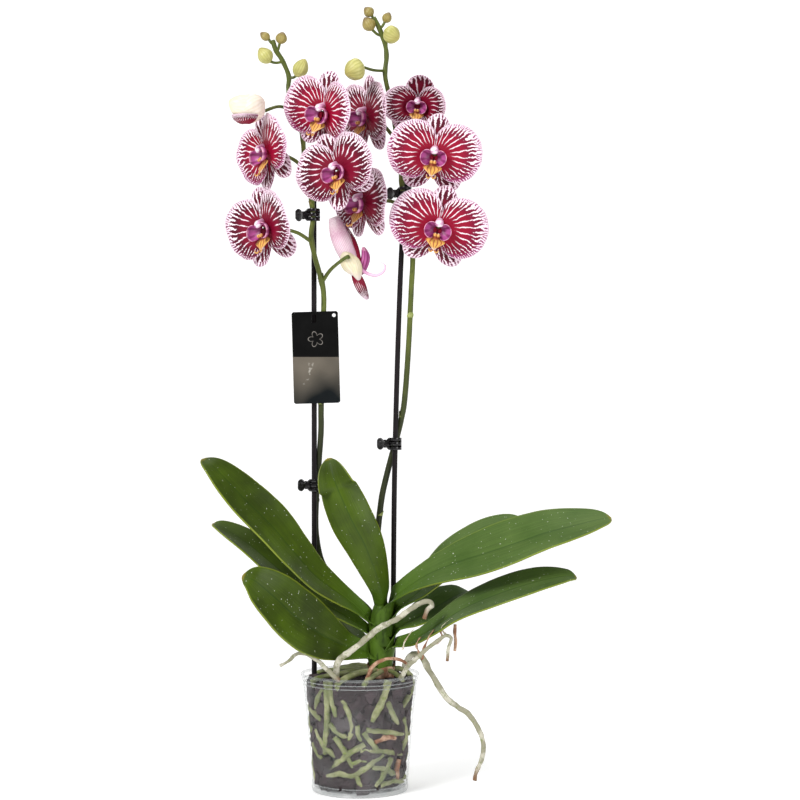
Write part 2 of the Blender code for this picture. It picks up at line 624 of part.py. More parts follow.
def build_label(materials, parts, helpers):
    """A thin card with rounded corners, a slot for the stake and a punched hole."""
    width, height, thickness = LABEL_SIZE
    bm = bmesh.new()
    turn = Matrix.Rotation(math.radians(LABEL_TILT), 4, "Y")
    place = Matrix.Translation(Vector(LABEL_CENTRE) * MM) @ turn
    size = Matrix.Diagonal((width * MM, thickness * MM, height * MM, 1.0))
    bmesh.ops.create_cube(bm, size=1.0, matrix=place @ size)
    upright = [edge for edge in bm.edges if abs((edge.verts[0].co - edge.verts[1].co).normalized().y) > 0.9]
    bmesh.ops.bevel(bm, geom=upright, offset=2.5 * MM, segments=2, profile=0.5, affect="EDGES", material=-1)
    label = add_mesh("plant_label", bm, materials["label"], parts)
    label.data.polygons.foreach_set("use_smooth", [False] * len(label.data.polygons))
    slot = bmesh.new()
    size = Matrix.Diagonal((6.4 * MM, 6.0 * MM, 8.4 * MM, 1.0))
    bmesh.ops.create_cube(slot, size=1.0, matrix=place @ Matrix.Translation(Vector((0.5, 0, 40.2)) * MM) @ size)
    cut(label, add_mesh("label_slot", slot, materials["label"], parts), helpers)
    hole = bmesh.new()
    upright = Matrix.Rotation(math.radians(90), 4, "X")
    where = place @ Matrix.Translation(Vector((19.8, 0, 43.2)) * MM) @ upright
    bmesh.ops.create_cone(hole, cap_ends=True, segments=12, radius1=1.9 * MM, radius2=1.9 * MM, depth=6 * MM, matrix=where)
    cut(label, add_mesh("label_hole", hole, materials["label"], parts), helpers)


# Each clip: middle of the stem and stake that it holds
CLIPS = {
    "clip_left_lower": (-46.0, 11.3, 314.0),
    "clip_left_upper": (-48.2, 3.4, 594.0),
    "clip_right_lower": (36.2, 13.4, 357.0),
    "clip_right_upper": (46.6, -0.2, 616.0),
}
CLIP_HINGE = -10.6            # the hinge's place beside the held stems, along X
PADDLE_LENGTH = 8.5
PADDLE_SPREAD = 20.0


def jaw_path(share, side):
    """Seen from above: from the finger paddle (0), past the hinge (0.35), round the stems (1)."""
    if share < 0.35:
        back = (0.35 - share) / 0.35
        angle = math.radians(PADDLE_SPREAD)
        return Vector((CLIP_HINGE - back * PADDLE_LENGTH * math.cos(angle), side * (1.6 + back * PADDLE_LENGTH * math.sin(angle)), 0))
    turn = math.radians(172 - 165 * (share - 0.35) / 0.65)
    return Vector((CLIP_REACH * math.cos(turn), side * (CLIP_REACH * math.sin(turn) + 0.6), 0))


def build_jaw(name, centre, side, prongs, material, parts):
    """A curved strip with its gripping end parted into prongs; side is -1 for the jaw that faces -Y."""
    columns = 10
    levels = sorted({edge for low, high in prongs for edge in (low, high)})
    bm = bmesh.new()
    bmesh.ops.create_grid(bm, x_segments=columns, y_segments=len(levels) - 1, size=1.0)
    span = max(abs(level) for level in levels)
    for vert in bm.verts:
        share = (vert.co.x + 1) / 2
        level = levels[round((vert.co.y + 1) / 2 * (len(levels) - 1))]
        if share < 0.35:
            level *= math.sqrt(max(1.0 - ((share - 0.15) / 0.23) ** 2, 0.08)) * 4.6 / span
        place = jaw_path(share, side) + Vector((0, 0, level))
        vert.co = (Vector(centre) + place) * MM
    open_faces = []
    for face in bm.faces:
        middle = face.calc_center_median() / MM - Vector(centre)
        in_prong = any(low < middle.z < high for low, high in prongs)
        if middle.x > CLIP_HINGE + 3.0 and not in_prong:
            open_faces.append(face)
    bmesh.ops.delete(bm, geom=open_faces, context="FACES")
    bmesh.ops.recalc_face_normals(bm, faces=bm.faces)
    return thicken(add_mesh(name, bm, material, parts), CLIP_THICKNESS)


def build_clips(materials, parts, helpers):
    three = [(-7.2, -4.6), (-1.3, 1.3), (4.6, 7.2)]
    two = [(-4.2, -1.8), (1.8, 4.2)]
    for name, centre in CLIPS.items():
        build_jaw(name + "_front_jaw", centre, -1, three, materials["clip"], parts)
        rear = build_jaw(name + "_rear_jaw", centre, 1, two, materials["clip"], parts)
        x, y, z = centre
        barrel = [(x + CLIP_HINGE, y + 1.7, z - 4.0), (x + CLIP_HINGE, y + 1.7, z + 4.0)]
        join(rear, [solid_tube(name + "_barrel", barrel, 1.3, parts, sides=8)], helpers)


# ---------------------------------------------------------------- the whole plant

def main():
    clear_scene()
    parts = collection("potted_orchid")
    helpers = collection("helpers")
    materials = {
        "pot": principled("clear_plastic", (0.72, 0.74, 0.72), 0.2, 0.35),
        "bark": principled("bark", (0.13, 0.09, 0.07), 0.9),
        "root": principled("root", (0.42, 0.42, 0.33), 0.7),
        "crown": principled("crown_green", (0.16, 0.34, 0.05), 0.5),
        "leaf": principled("leaf_green", (0.06, 0.16, 0.03), 0.4),
        "stake": principled("stake_plastic", (0.04, 0.03, 0.035), 0.5),
        "spike": principled("stem_green", (0.12, 0.18, 0.05), 0.5),
        "petal": principled("petal_crimson", (0.38, 0.02, 0.09), 0.6),
        "lip": principled("lip_magenta", (0.45, 0.08, 0.25), 0.6),
        "bud": principled("bud_cream", (0.60, 0.48, 0.33), 0.6),
        "label": principled("label_card", (0.03, 0.03, 0.03), 0.3),
        "clip": principled("clip_plastic", (0.01, 0.01, 0.01), 0.3),
    }
    build_pot(materials, parts, helpers)
    stakes = {"left_stake": (LEFT_STAKE, LEFT_STAKE[0][2]), "right_stake": (RIGHT_STAKE, RIGHT_STAKE[0][2])}
    build_bark(materials, parts, helpers, stakes)
    build_stakes(materials, parts)
    build_root_mass(materials, parts, helpers)
    build_aerial_roots(materials, parts)
    build_crown(materials, parts)
    for name, (rib, half_width, across_base, across_tip, fold) in LEAVES.items():
        build_leaf(name, rib, half_width, across_base, across_tip, fold, materials, parts)
    build_flowers(materials, parts)
    build_spikes(materials, parts, helpers)
    build_label(materials, parts, helpers)
    build_clips(materials, parts, helpers)


main()
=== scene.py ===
"""Looks for the potted moth orchid: petals, leaves, roots, bark, clear pot, stakes, clips and label."""
import math
import random

import bmesh
import bpy
from mathutils import Matrix, Vector, noise


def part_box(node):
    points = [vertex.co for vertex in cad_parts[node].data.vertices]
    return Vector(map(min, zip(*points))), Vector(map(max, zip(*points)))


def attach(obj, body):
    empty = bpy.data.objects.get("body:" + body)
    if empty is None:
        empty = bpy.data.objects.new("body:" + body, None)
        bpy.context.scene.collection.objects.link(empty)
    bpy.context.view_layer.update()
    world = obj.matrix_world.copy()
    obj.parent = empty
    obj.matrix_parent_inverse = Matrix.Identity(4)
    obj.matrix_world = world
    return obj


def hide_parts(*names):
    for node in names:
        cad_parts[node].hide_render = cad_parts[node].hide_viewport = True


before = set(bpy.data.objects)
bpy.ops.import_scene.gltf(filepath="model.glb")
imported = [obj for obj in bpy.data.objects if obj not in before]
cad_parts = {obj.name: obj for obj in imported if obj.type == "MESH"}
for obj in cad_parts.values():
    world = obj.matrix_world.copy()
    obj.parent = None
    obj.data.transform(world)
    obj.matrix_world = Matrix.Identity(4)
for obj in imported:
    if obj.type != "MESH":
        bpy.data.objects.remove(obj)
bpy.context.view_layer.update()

MM = 0.001
PLANT = "plant"
CURVE_STEPS = 24
WELD = 2e-6
NO_LENGTH = 1e-7
PETAL_WALL = 0.5
LEAF_WALL = 1.5
SHEATH_WALL = 1.0
CLIP_WALL = 1.45


# ------------------------------------------------------------------ sheets, tubes and pieces

def smooth_route(points, count):
    """Points spaced evenly along a Catmull-Rom curve through the given ones."""
    knots = [Vector(point) for point in points]
    ends = [2 * knots[0] - knots[1], *knots, 2 * knots[-1] - knots[-2]]
    dense = []
    for a, b, c, d in zip(ends, ends[1:], ends[2:], ends[3:]):
        for step in range(CURVE_STEPS):
            t = step / CURVE_STEPS
            dense.append(0.5 * (2 * b + (c - a) * t + (2 * a - 5 * b + 4 * c - d) * t ** 2
                                + (3 * b - a - 3 * c + d) * t ** 3))
    dense.append(knots[-1])
    run = [0.0]
    for low, high in zip(dense, dense[1:]):
        run.append(run[-1] + (high - low).length)
    route = []
    k = 0
    for i in range(count):
        along = run[-1] * i / (count - 1)
        while k < len(run) - 2 and run[k + 1] < along:
            k += 1
        route.append(dense[k].lerp(dense[k + 1], min((along - run[k]) / (run[k + 1] - run[k]), 1.0)))
    return route


def smooth_step(value, low, high):
    share = min(max((value - low) / (high - low), 0.0), 1.0)
    return share * share * (3 - 2 * share)


def new_sheet():
    bm = bmesh.new()
    bm.loops.layers.uv.new("UVMap")
    return bm


def add_sheet(bm, across, along, place, finish=0, flip=False):
    """Lays a grid on place(s, t), given in millimetres, and keeps s and t as its UV map."""
    uv = bm.loops.layers.uv.active
    verts = bmesh.ops.create_grid(bm, x_segments=across, y_segments=along, size=1.0)["verts"]
    where = {}
    faces = set()
    for vert in verts:
        s = (vert.co.x + 1) / 2
        t = (vert.co.y + 1) / 2
        where[vert] = (1 - s if flip else s, t)
        faces.update(vert.link_faces)
        vert.co = Vector(place(s, t)) * MM
    for face in faces:
        face.material_index = finish
        for loop in face.loops:
            loop[uv].uv = where[loop.vert]
    return verts


def add_tube(bm, route, radius, sides=12, finish=0, rough=0.0, seed=0.0):
    """A round tube along a route, closed at both ends; radius is a number or a function of t."""
    route = [Vector(point) for point in route]
    count = len(route)
    tangents = [(route[min(i + 1, count - 1)] - route[max(i - 1, 0)]).normalized() for i in range(count)]
    side = tangents[0].orthogonal().normalized()
    sides_at = []
    for tangent in tangents:
        side = (side - tangent * side.dot(tangent)).normalized()
        sides_at.append(side)

    def place(s, t):
        ring = t * (count + 1)
        i = min(max(round(ring) - 1, 0), count - 1)
        share = i / (count - 1)
        size = radius(share) if callable(radius) else radius
        if ring < 0.5 or ring > count + 0.5:
            size = 0.0
        angle = math.tau * s
        out = sides_at[i] * math.cos(angle) + tangents[i].cross(sides_at[i]) * math.sin(angle)
        if rough:
            size *= 1 + rough * noise.noise(route[i] * 0.16 + out * 0.9 + Vector((seed, 0, 0)))
        return route[i] + out * size

    add_sheet(bm, sides, count + 1, place, finish)


def add_spun(bm, profile, steps):
    """Spins an outline of (radius, height) points round the pot's axis."""
    verts = [bm.verts.new((radius * MM, 0.0, height * MM)) for radius, height in profile]
    edges = [bm.edges.new(pair) for pair in zip(verts, verts[1:])]
    bmesh.ops.spin(bm, geom=verts + edges, cent=(0, 0, 0), axis=(0, 0, 1), angle=math.tau, steps=steps,
                   use_merge=True)


def make_piece(name, bm, finishes, nodes=(), body=PLANT, wall=0.0, wall_finish=0, weld=True):
    """Turns the mesh into a finished piece that stands for its CAD nodes. The finishes are keys of FINISHES,
    and wall is a sheet's thickness in mm."""
    if weld:
        bmesh.ops.remove_doubles(bm, verts=bm.verts, dist=WELD)
    bmesh.ops.dissolve_degenerate(bm, edges=bm.edges, dist=NO_LENGTH)
    if not wall:
        bmesh.ops.recalc_face_normals(bm, faces=bm.faces)
    mesh = bpy.data.meshes.new(name)
    bm.to_mesh(mesh)
    bm.free()
    for key in finishes:
        mesh.materials.append(FINISHES[key])
    mesh.shade_smooth()
    obj = bpy.data.objects.new(name, mesh)
    bpy.context.scene.collection.objects.link(obj)
    if wall:
        solid = obj.modifiers.new("wall", "SOLIDIFY")
        solid.thickness = wall * MM
        solid.offset = 0.0
        solid.material_offset = wall_finish
    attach(obj, body)
    if nodes:
        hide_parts(*nodes)
    return obj


def carve(obj, cutter_bm):
    """Cuts the cutter's boxes out of the piece for good."""
    mesh = bpy.data.meshes.new("cutter")
    cutter_bm.to_mesh(mesh)
    cutter_bm.free()
    cutter = bpy.data.objects.new("cutter", mesh)
    bpy.context.scene.collection.objects.link(cutter)
    cut = obj.modifiers.new("cut", "BOOLEAN")
    cut.operation = "DIFFERENCE"
    cut.solver = "EXACT"
    cut.object = cutter
    graph = bpy.context.evaluated_depsgraph_get()
    carved = bpy.data.meshes.new_from_object(obj.evaluated_get(graph))
    obj.modifiers.clear()
    obj.data = carved
    bpy.data.objects.remove(cutter, do_unlink=True)


# ------------------------------------------------------------------ finishes

def tint(code):
    """An sRGB hex colour as linear red, green, blue and alpha."""
    parts = [int(code[i:i + 2], 16) / 255 for i in (1, 3, 5)]
    return (*[p / 12.92 if p <= 0.04045 else ((p + 0.055) / 1.055) ** 2.4 for p in parts], 1.0)


def set_inputs(node, inputs):
    """Fills or links a node's inputs; a node given as the value stands for the output that it has in use."""
    for socket, value in inputs.items():
        if isinstance(value, bpy.types.Node):
            value = next(output for output in value.outputs if output.enabled)
        if isinstance(value, bpy.types.NodeSocket):
            node.id_data.links.new(value, node.inputs[socket])
        else:
            node.inputs[socket].default_value = value


def add_node(tree, kind, inputs, **settings):
    """Adds a shader node of this kind, with its settings, constants and links. By number, the inputs of a Map
    Range are 1 to 4 for the range it reads and the one it gives; a Mix has its share at 0, plain values at 2
    and 3, and colours at 6 and 7."""
    made = tree.nodes.new("ShaderNode" + kind)
    for key, value in settings.items():
        setattr(made, key, value)
    set_inputs(made, inputs)
    return made


def grain_of(size_mm):
    """Noise scale whose blotches come out about this many millimetres across."""
    return 1 / (size_mm * MM)


def new_finish(name, **constants):
    material = bpy.data.materials.new(name)
    material.use_nodes = True
    shader = material.node_tree.nodes["Principled BSDF"]
    for key, value in constants.items():
        shader.inputs[key.replace("_", " ")].default_value = value
    return material, material.node_tree, shader


def petal_flesh(name, stripes, flush, wine, paper):
    """Petal skin: velvety cells over white flesh. Wine-red veins fan out from the heart, fork twice on the
    way, break into dashes near the pale margin and run together near the heart."""
    material, tree, shader = new_finish(name, Roughness=0.5, Specular_IOR_Level=0.22)
    place = add_node(tree, "TexCoord", {}).outputs
    split = add_node(tree, "SeparateXYZ", {0: place["UV"]})
    u, v = split.outputs[0], split.outputs[1]
    waver = add_node(tree, "TexNoise", {"Vector": place["Object"], "Scale": grain_of(10.5), "Detail": 2.0})
    shift = add_node(tree, "Math", {0: waver, 1: 0.5}, operation="SUBTRACT")
    bent = add_node(tree, "Math", {0: shift, 1: 0.07, 2: u}, operation="MULTIPLY_ADD")
    phase = add_node(tree, "Math", {0: bent, 1: math.tau * stripes}, operation="MULTIPLY")
    broad = add_node(tree, "Math", {0: phase}, operation="SINE")
    twice = add_node(tree, "Math", {0: phase, 1: 2.0, 2: 1.6}, operation="MULTIPLY_ADD")
    narrow = add_node(tree, "Math", {0: twice}, operation="SINE")
    again = add_node(tree, "Math", {0: phase, 1: 4.0, 2: 0.7}, operation="MULTIPLY_ADD")
    fine = add_node(tree, "Math", {0: again}, operation="SINE")
    forked = add_node(tree, "MapRange", {"Value": v, 1: 0.5, 2: 0.74}, interpolation_type="SMOOTHSTEP")
    frayed = add_node(tree, "MapRange", {"Value": v, 1: 0.8, 2: 0.95}, interpolation_type="SMOOTHSTEP")
    veins = add_node(tree, "Mix", {0: forked, 2: broad, 3: narrow})
    veined = add_node(tree, "Mix", {0: frayed, 2: veins, 3: fine})
    flat = add_node(tree, "CombineXYZ", {0: u, 1: v})
    drawn = add_node(tree, "VectorMath", {0: flat, 1: (stripes * 4.6, 26.0, 1.0)}, operation="MULTIPLY")
    grain = add_node(tree, "TexNoise", {"Vector": drawn, "Scale": 1.0, "Detail": 1.5})
    middle = add_node(tree, "Math", {0: grain, 1: 0.5}, operation="SUBTRACT")
    broken = add_node(tree, "MapRange", {"Value": v, 1: 0.55, 2: 0.94, 3: 0.6, 4: 3.8})
    ragged = add_node(tree, "Math", {0: middle, 1: broken, 2: veined}, operation="MULTIPLY_ADD")
    lower = add_node(tree, "MapRange", {"Value": u, 1: 0.42, 2: 0.9, 3: 0.0, 4: 0.24},
                     interpolation_type="SMOOTHSTEP")
    inward = add_node(tree, "Math", {0: v, 1: lower}, operation="SUBTRACT")
    heart = add_node(tree, "MapRange", {"Value": inward, 1: flush * 0.4, 2: flush + 0.2, 3: -1.8, 4: -0.82},
                     interpolation_type="SMOOTHSTEP")
    outer = add_node(tree, "MapRange", {"Value": inward, 1: 0.68, 2: 1.0, 3: 0.0, 4: 1.5})
    gap = add_node(tree, "Math", {0: heart, 1: outer}, operation="ADD")
    over = add_node(tree, "Math", {0: ragged, 1: gap}, operation="SUBTRACT")
    inked = add_node(tree, "MapRange", {"Value": over, 1: -0.18, 2: 0.24}, interpolation_type="SMOOTHSTEP")
    rim = add_node(tree, "MapRange", {"Value": v, 1: 0.965, 2: 0.992, 3: 1.0, 4: 0.2})
    ink = add_node(tree, "Math", {0: inked, 1: rim}, operation="MULTIPLY")
    deep = add_node(tree, "Mix", {0: forked, 6: tint(wine[0]), 7: tint(wine[1])}, data_type="RGBA")
    faded = add_node(tree, "Mix", {0: frayed, 6: deep, 7: tint(wine[2])}, data_type="RGBA")
    pale = add_node(tree, "Mix", {0: frayed, 6: tint(paper[0]), 7: tint(paper[1])}, data_type="RGBA")
    colour = add_node(tree, "Mix", {0: ink, 6: pale, 7: faded}, data_type="RGBA")
    cells = add_node(tree, "TexNoise", {"Vector": place["Object"], "Scale": grain_of(0.7)})
    height = add_node(tree, "Math", {0: cells, 1: 0.35, 2: ragged}, operation="MULTIPLY_ADD")
    bump = add_node(tree, "Bump", {"Height": height, "Distance": 0.0002, "Strength": 0.35})
    set_inputs(shader, {"Base Color": colour, "Normal": bump})
    return material


def lip_flesh(name, base, edge, vein, stripes):
    """Lip skin: waxy and glossier than a petal, with a dark throat, a warm margin and fine darker veins."""
    material, tree, shader = new_finish(name, Roughness=0.38, Specular_IOR_Level=0.4)
    place = add_node(tree, "TexCoord", {}).outputs
    split = add_node(tree, "SeparateXYZ", {0: place["UV"]})
    u, v = split.outputs[0], split.outputs[1]
    waver = add_node(tree, "TexNoise", {"Vector": place["Object"], "Scale": grain_of(3.8), "Detail": 2.0})
    phase = add_node(tree, "Math", {0: u, 1: math.tau * stripes, 2: waver}, operation="MULTIPLY_ADD")
    wave = add_node(tree, "Math", {0: phase}, operation="SINE")
    lines = add_node(tree, "MapRange", {"Value": wave, 1: 0.2, 2: 0.8, 3: 0.0, 4: 0.75})
    throat = add_node(tree, "MapRange", {"Value": v, 1: 0.12, 2: 0.32, 3: 0.8, 4: 0.0},
                      interpolation_type="SMOOTHSTEP")
    inked = add_node(tree, "Math", {0: lines, 1: throat}, operation="MAXIMUM")
    outer = add_node(tree, "Math", {0: waver, 1: 0.3, 2: v}, operation="MULTIPLY_ADD")
    warm = add_node(tree, "MapRange", {"Value": outer, 1: 0.92, 2: 1.08, 3: 0.0, 4: 1.0},
                    interpolation_type="SMOOTHSTEP")
    ground = add_node(tree, "Mix", {0: warm, 6: tint(base), 7: tint(edge)}, data_type="RGBA")
    colour = add_node(tree, "Mix", {0: inked, 6: ground, 7: tint(vein)}, data_type="RGBA")
    bump = add_node(tree, "Bump", {"Height": waver, "Distance": 0.0003, "Strength": 0.4})
    set_inputs(shader, {"Base Color": colour, "Normal": bump})
    return material


def leaf_skin(name, young, deep, edge, shine):
    """Leaf skin: a waxy cuticle over long parallel veins, paler along the margin and at the clasping base,
    with a yellowed tip and a few specks of dust and lime."""
    material, tree, shader = new_finish(name, Roughness=shine, Specular_IOR_Level=0.2)
    place = add_node(tree, "TexCoord", {}).outputs
    split = add_node(tree, "SeparateXYZ", {0: place["UV"]})
    u, v = split.outputs[0], split.outputs[1]
    clouds = add_node(tree, "TexNoise", {"Vector": place["Object"], "Scale": grain_of(45), "Detail": 3.0})
    body = add_node(tree, "MapRange", {"Value": clouds, 1: 0.35, 2: 0.68, 3: 0.0, 4: 1.0})
    green = add_node(tree, "Mix", {0: body, 6: tint(deep), 7: tint(young)}, data_type="RGBA")
    long = add_node(tree, "CombineXYZ", {0: u, 1: v, 2: 0.0})
    drawn = add_node(tree, "VectorMath", {0: long, 1: (46.0, 3.0, 1.0)}, operation="MULTIPLY")
    veins = add_node(tree, "TexNoise", {"Vector": drawn, "Scale": 1.0, "Detail": 2.0})
    shade = add_node(tree, "MapRange", {"Value": veins, 1: 0.3, 2: 0.7, 3: 0.86, 4: 1.12})
    veined = add_node(tree, "VectorMath", {0: green, 3: shade}, operation="SCALE")
    off = add_node(tree, "Math", {0: u, 1: 0.5}, operation="SUBTRACT")
    away = add_node(tree, "Math", {0: off}, operation="ABSOLUTE")
    margin = add_node(tree, "MapRange", {"Value": away, 1: 0.47, 2: 0.497, 3: 0.0, 4: 0.75})
    base = add_node(tree, "MapRange", {"Value": v, 1: 0.0, 2: 0.2, 3: 0.95, 4: 0.0},
                    interpolation_type="SMOOTHSTEP")
    tip = add_node(tree, "MapRange", {"Value": v, 1: 0.965, 2: 1.0, 3: 0.0, 4: 0.9})
    rib = add_node(tree, "MapRange", {"Value": away, 1: 0.004, 2: 0.02, 3: 0.45, 4: 0.0})
    with_rib = add_node(tree, "Mix", {0: rib, 6: veined, 7: tint("#1d3a10")}, data_type="RGBA")
    with_edge = add_node(tree, "Mix", {0: margin, 6: with_rib, 7: tint(edge)}, data_type="RGBA")
    with_base = add_node(tree, "Mix", {0: base, 6: with_edge, 7: tint("#4c6a1c")}, data_type="RGBA")
    with_tip = add_node(tree, "Mix", {0: tip, 6: with_base, 7: tint("#9a8a34")}, data_type="RGBA")
    dust = add_node(tree, "TexNoise", {"Vector": place["Object"], "Scale": grain_of(2.4), "Detail": 1.0})
    specks = add_node(tree, "MapRange", {"Value": dust, 1: 0.735, 2: 0.77, 3: 0.0, 4: 0.75})
    speckled = add_node(tree, "Mix", {0: specks, 6: with_tip, 7: tint("#cfd6c0")}, data_type="RGBA")
    bump = add_node(tree, "Bump", {"Height": veins, "Distance": 0.0006, "Strength": 0.35})
    set_inputs(shader, {"Base Color": speckled, "Normal": bump})
    return material


def patched(name, colours, patch_mm, roughness, bump_mm=0.3, gloss=0.4, cut=(0.42, 0.6), stretch=(1, 1, 1)):
    """A natural surface in two tones with flecks of a third: patch_mm is how wide the patches of tone are,
    the flecks are a fifth of that, and the same pattern gives its relief."""
    material, tree, shader = new_finish(name, Roughness=roughness, Specular_IOR_Level=gloss)
    place = add_node(tree, "TexCoord", {}).outputs
    drawn = add_node(tree, "Mapping", {"Vector": place["Object"], "Scale": stretch})
    coarse = add_node(tree, "TexNoise", {"Vector": drawn, "Scale": grain_of(patch_mm), "Detail": 3.0})
    fine = add_node(tree, "TexNoise", {"Vector": drawn, "Scale": grain_of(patch_mm / 5.3), "Detail": 2.0})
    share = add_node(tree, "MapRange", {"Value": coarse, 1: cut[0], 2: cut[1], 3: 0.0, 4: 1.0},
                     interpolation_type="SMOOTHSTEP")
    flecks = add_node(tree, "MapRange", {"Value": fine, 1: 0.56, 2: 0.7, 3: 0.0, 4: 0.85})
    two = add_node(tree, "Mix", {0: share, 6: tint(colours[0]), 7: tint(colours[1])}, data_type="RGBA")
    three = add_node(tree, "Mix", {0: flecks, 6: two, 7: tint(colours[2])}, data_type="RGBA")
    relief = add_node(tree, "Math", {0: fine, 1: 0.5, 2: coarse}, operation="MULTIPLY_ADD")
    bump = add_node(tree, "Bump", {"Height": relief, "Distance": bump_mm * MM, "Strength": 0.6})
    set_inputs(shader, {"Base Color": three, "Normal": bump})
    return material


def overlay(material, share, colour):
    """Lays a flat colour over the base colour that the material already has, by the given share."""
    tree = material.node_tree
    shader = tree.nodes["Principled BSDF"]
    below = shader.inputs["Base Color"].links[0].from_socket
    mixed = add_node(tree, "Mix", {0: share, 6: below, 7: tint(colour)}, data_type="RGBA")
    set_inputs(shader, {"Base Color": mixed})


def stem_skin():
    """Spike skin: olive green among the flowers, darkening to brown-green toward the leaves."""
    material = patched("spike_stem_green", ("#515b25", "#636d2f", "#424a23"), 14.3, 0.42, 0.15, gloss=0.25,
                       stretch=(1, 1, 0.25))
    tree = material.node_tree
    place = add_node(tree, "TexCoord", {}).outputs
    split = add_node(tree, "SeparateXYZ", {0: place["Object"]})
    low = add_node(tree, "MapRange", {"Value": split.outputs[2], 1: 0.34, 2: 0.52, 3: 0.86, 4: 0.0},
                   interpolation_type="SMOOTHSTEP")
    overlay(material, low, "#23261a")
    return material


def root_skin(name, colours, tip):
    """Velamen: silvery dry sponge with green showing through in patches, and a brown dried tip."""
    material = patched(name, colours, 13.3, 0.75, 0.6, cut=(0.46, 0.58))
    tree = material.node_tree
    place = add_node(tree, "TexCoord", {}).outputs
    split = add_node(tree, "SeparateXYZ", {0: place["UV"]})
    end = add_node(tree, "MapRange", {"Value": split.outputs[1], 1: 0.9, 2: 0.97, 3: 0.0, 4: 0.85})
    overlay(material, end, tip)
    return material


BUD_RIBS = 18


def bud_skin(name, ground, rib, tip):
    """Closed sepals: waxy cream, with fine green ribs that run from stalk to tip."""
    material, tree, shader = new_finish(name, Roughness=0.42, Specular_IOR_Level=0.45)
    place = add_node(tree, "TexCoord", {}).outputs
    split = add_node(tree, "SeparateXYZ", {0: place["UV"]})
    waver = add_node(tree, "TexNoise", {"Vector": place["Object"], "Scale": grain_of(8.3), "Detail": 2.0})
    around = math.tau * BUD_RIBS
    phase = add_node(tree, "Math", {0: split.outputs[0], 1: around, 2: waver}, operation="MULTIPLY_ADD")
    wave = add_node(tree, "Math", {0: phase}, operation="SINE")
    ribs = add_node(tree, "MapRange", {"Value": wave, 1: -0.2, 2: 1.0, 3: 0.0, 4: 0.55})
    ends = add_node(tree, "MapRange", {"Value": split.outputs[1], 1: 0.6, 2: 1.0, 3: 0.0, 4: 0.8})
    mottled = add_node(tree, "Mix", {0: waver, 6: tint(ground), 7: tint(rib)}, data_type="RGBA")
    ribbed = add_node(tree, "Mix", {0: ribs, 6: mottled, 7: tint(rib)}, data_type="RGBA")
    tipped = add_node(tree, "Mix", {0: ends, 6: ribbed, 7: tint(tip)}, data_type="RGBA")
    bump = add_node(tree, "Bump", {"Height": wave, "Distance": 0.0002, "Strength": 0.4})
    set_inputs(shader, {"Base Color": tipped, "Normal": bump})
    return material


# Heights of the milky lines that the thicker plastic shows: two hoops and the foot
MILKY_LINES = (114.6, 110.8, 8.5)
MILKY_HALF_WIDTH = 0.4


def clear_pot_plastic():
    """Thin polypropylene, injection moulded: seen through face on, milky at its rim, hoops and foot where it
    is thick or seen edge on, with a haze of lime."""
    material, tree, shader = new_finish("clear_polypropylene_moulded", Roughness=0.14, Specular_IOR_Level=0.6)
    place = add_node(tree, "TexCoord", {}).outputs
    split = add_node(tree, "SeparateXYZ", {0: place["Object"]})
    graze = add_node(tree, "LayerWeight", {"Blend": 0.3})
    haze = add_node(tree, "TexNoise", {"Vector": place["Object"], "Scale": grain_of(38), "Detail": 4.0})
    lime = add_node(tree, "MapRange", {"Value": haze, 1: 0.5, 2: 0.8, 3: 0.04, 4: 0.17})
    edge = add_node(tree, "MapRange", {"Value": graze.outputs["Facing"], 1: 0.55, 2: 0.98, 3: 0.0, 4: 0.6})
    rim = add_node(tree, "MapRange", {"Value": split.outputs[2], 1: 0.1175, 2: 0.1188, 3: 0.0, 4: 0.16})
    foot = add_node(tree, "MapRange", {"Value": split.outputs[2], 1: 0.002, 2: 0.009, 3: 0.22, 4: 0.0})
    bands = add_node(tree, "Math", {0: rim, 1: foot}, operation="ADD")
    for level in MILKY_LINES:
        off = add_node(tree, "Math", {0: split.outputs[2], 1: level * MM, 2: MILKY_HALF_WIDTH * MM},
                       operation="COMPARE")
        bands = add_node(tree, "Math", {0: off, 1: 0.4, 2: bands}, operation="MULTIPLY_ADD")
    skin = add_node(tree, "Math", {0: lime, 1: edge}, operation="ADD")
    cover = add_node(tree, "Math", {0: skin, 1: bands}, operation="ADD", use_clamp=True)
    scuffs = add_node(tree, "Bump", {"Height": haze, "Distance": 0.0004, "Strength": 0.2})
    set_inputs(shader, {"Base Color": tint("#a3a8a8"), "Alpha": cover, "Normal": scuffs})
    return material


def moulded_plastic(name, colour, worn, roughness, rub_mm, gloss=0.5):
    """Injection-moulded plastic: one dye, a faint sparkle of grain, and random patches rubbed a little paler.
    """
    material, tree, shader = new_finish(name, Specular_IOR_Level=gloss)
    place = add_node(tree, "TexCoord", {}).outputs
    rub = add_node(tree, "TexNoise", {"Vector": place["Object"], "Scale": grain_of(rub_mm), "Detail": 4.0})
    share = add_node(tree, "MapRange", {"Value": rub, 1: 0.5, 2: 0.75, 3: 0.0, 4: 0.7})
    colour_mix = add_node(tree, "Mix", {0: share, 6: tint(colour), 7: tint(worn)}, data_type="RGBA")
    rough = add_node(tree, "MapRange", {"Value": rub, 3: roughness - 0.08, 4: roughness + 0.12})
    bump = add_node(tree, "Bump", {"Height": rub, "Distance": 0.0001, "Strength": 0.4})
    set_inputs(shader, {"Base Color": colour_mix, "Roughness": rough, "Normal": bump})
    return material


LABEL_CENTRE = Vector((-45.6, 0.9, 446.5))
LABEL_SIZE = Vector((48.0, 0.8, 95.0))
LABEL_TILT = math.radians(-1.6)
LABEL_CORNER = 2.5
SLOT_CENTRE = (-0.9, 0.0, 40.2)
SLOT_SIZE = (4.6, 6.0, 8.4)
HOLE_CENTRE = (19.8, 0.0, 43.2)
HOLE_RADIUS = 1.9


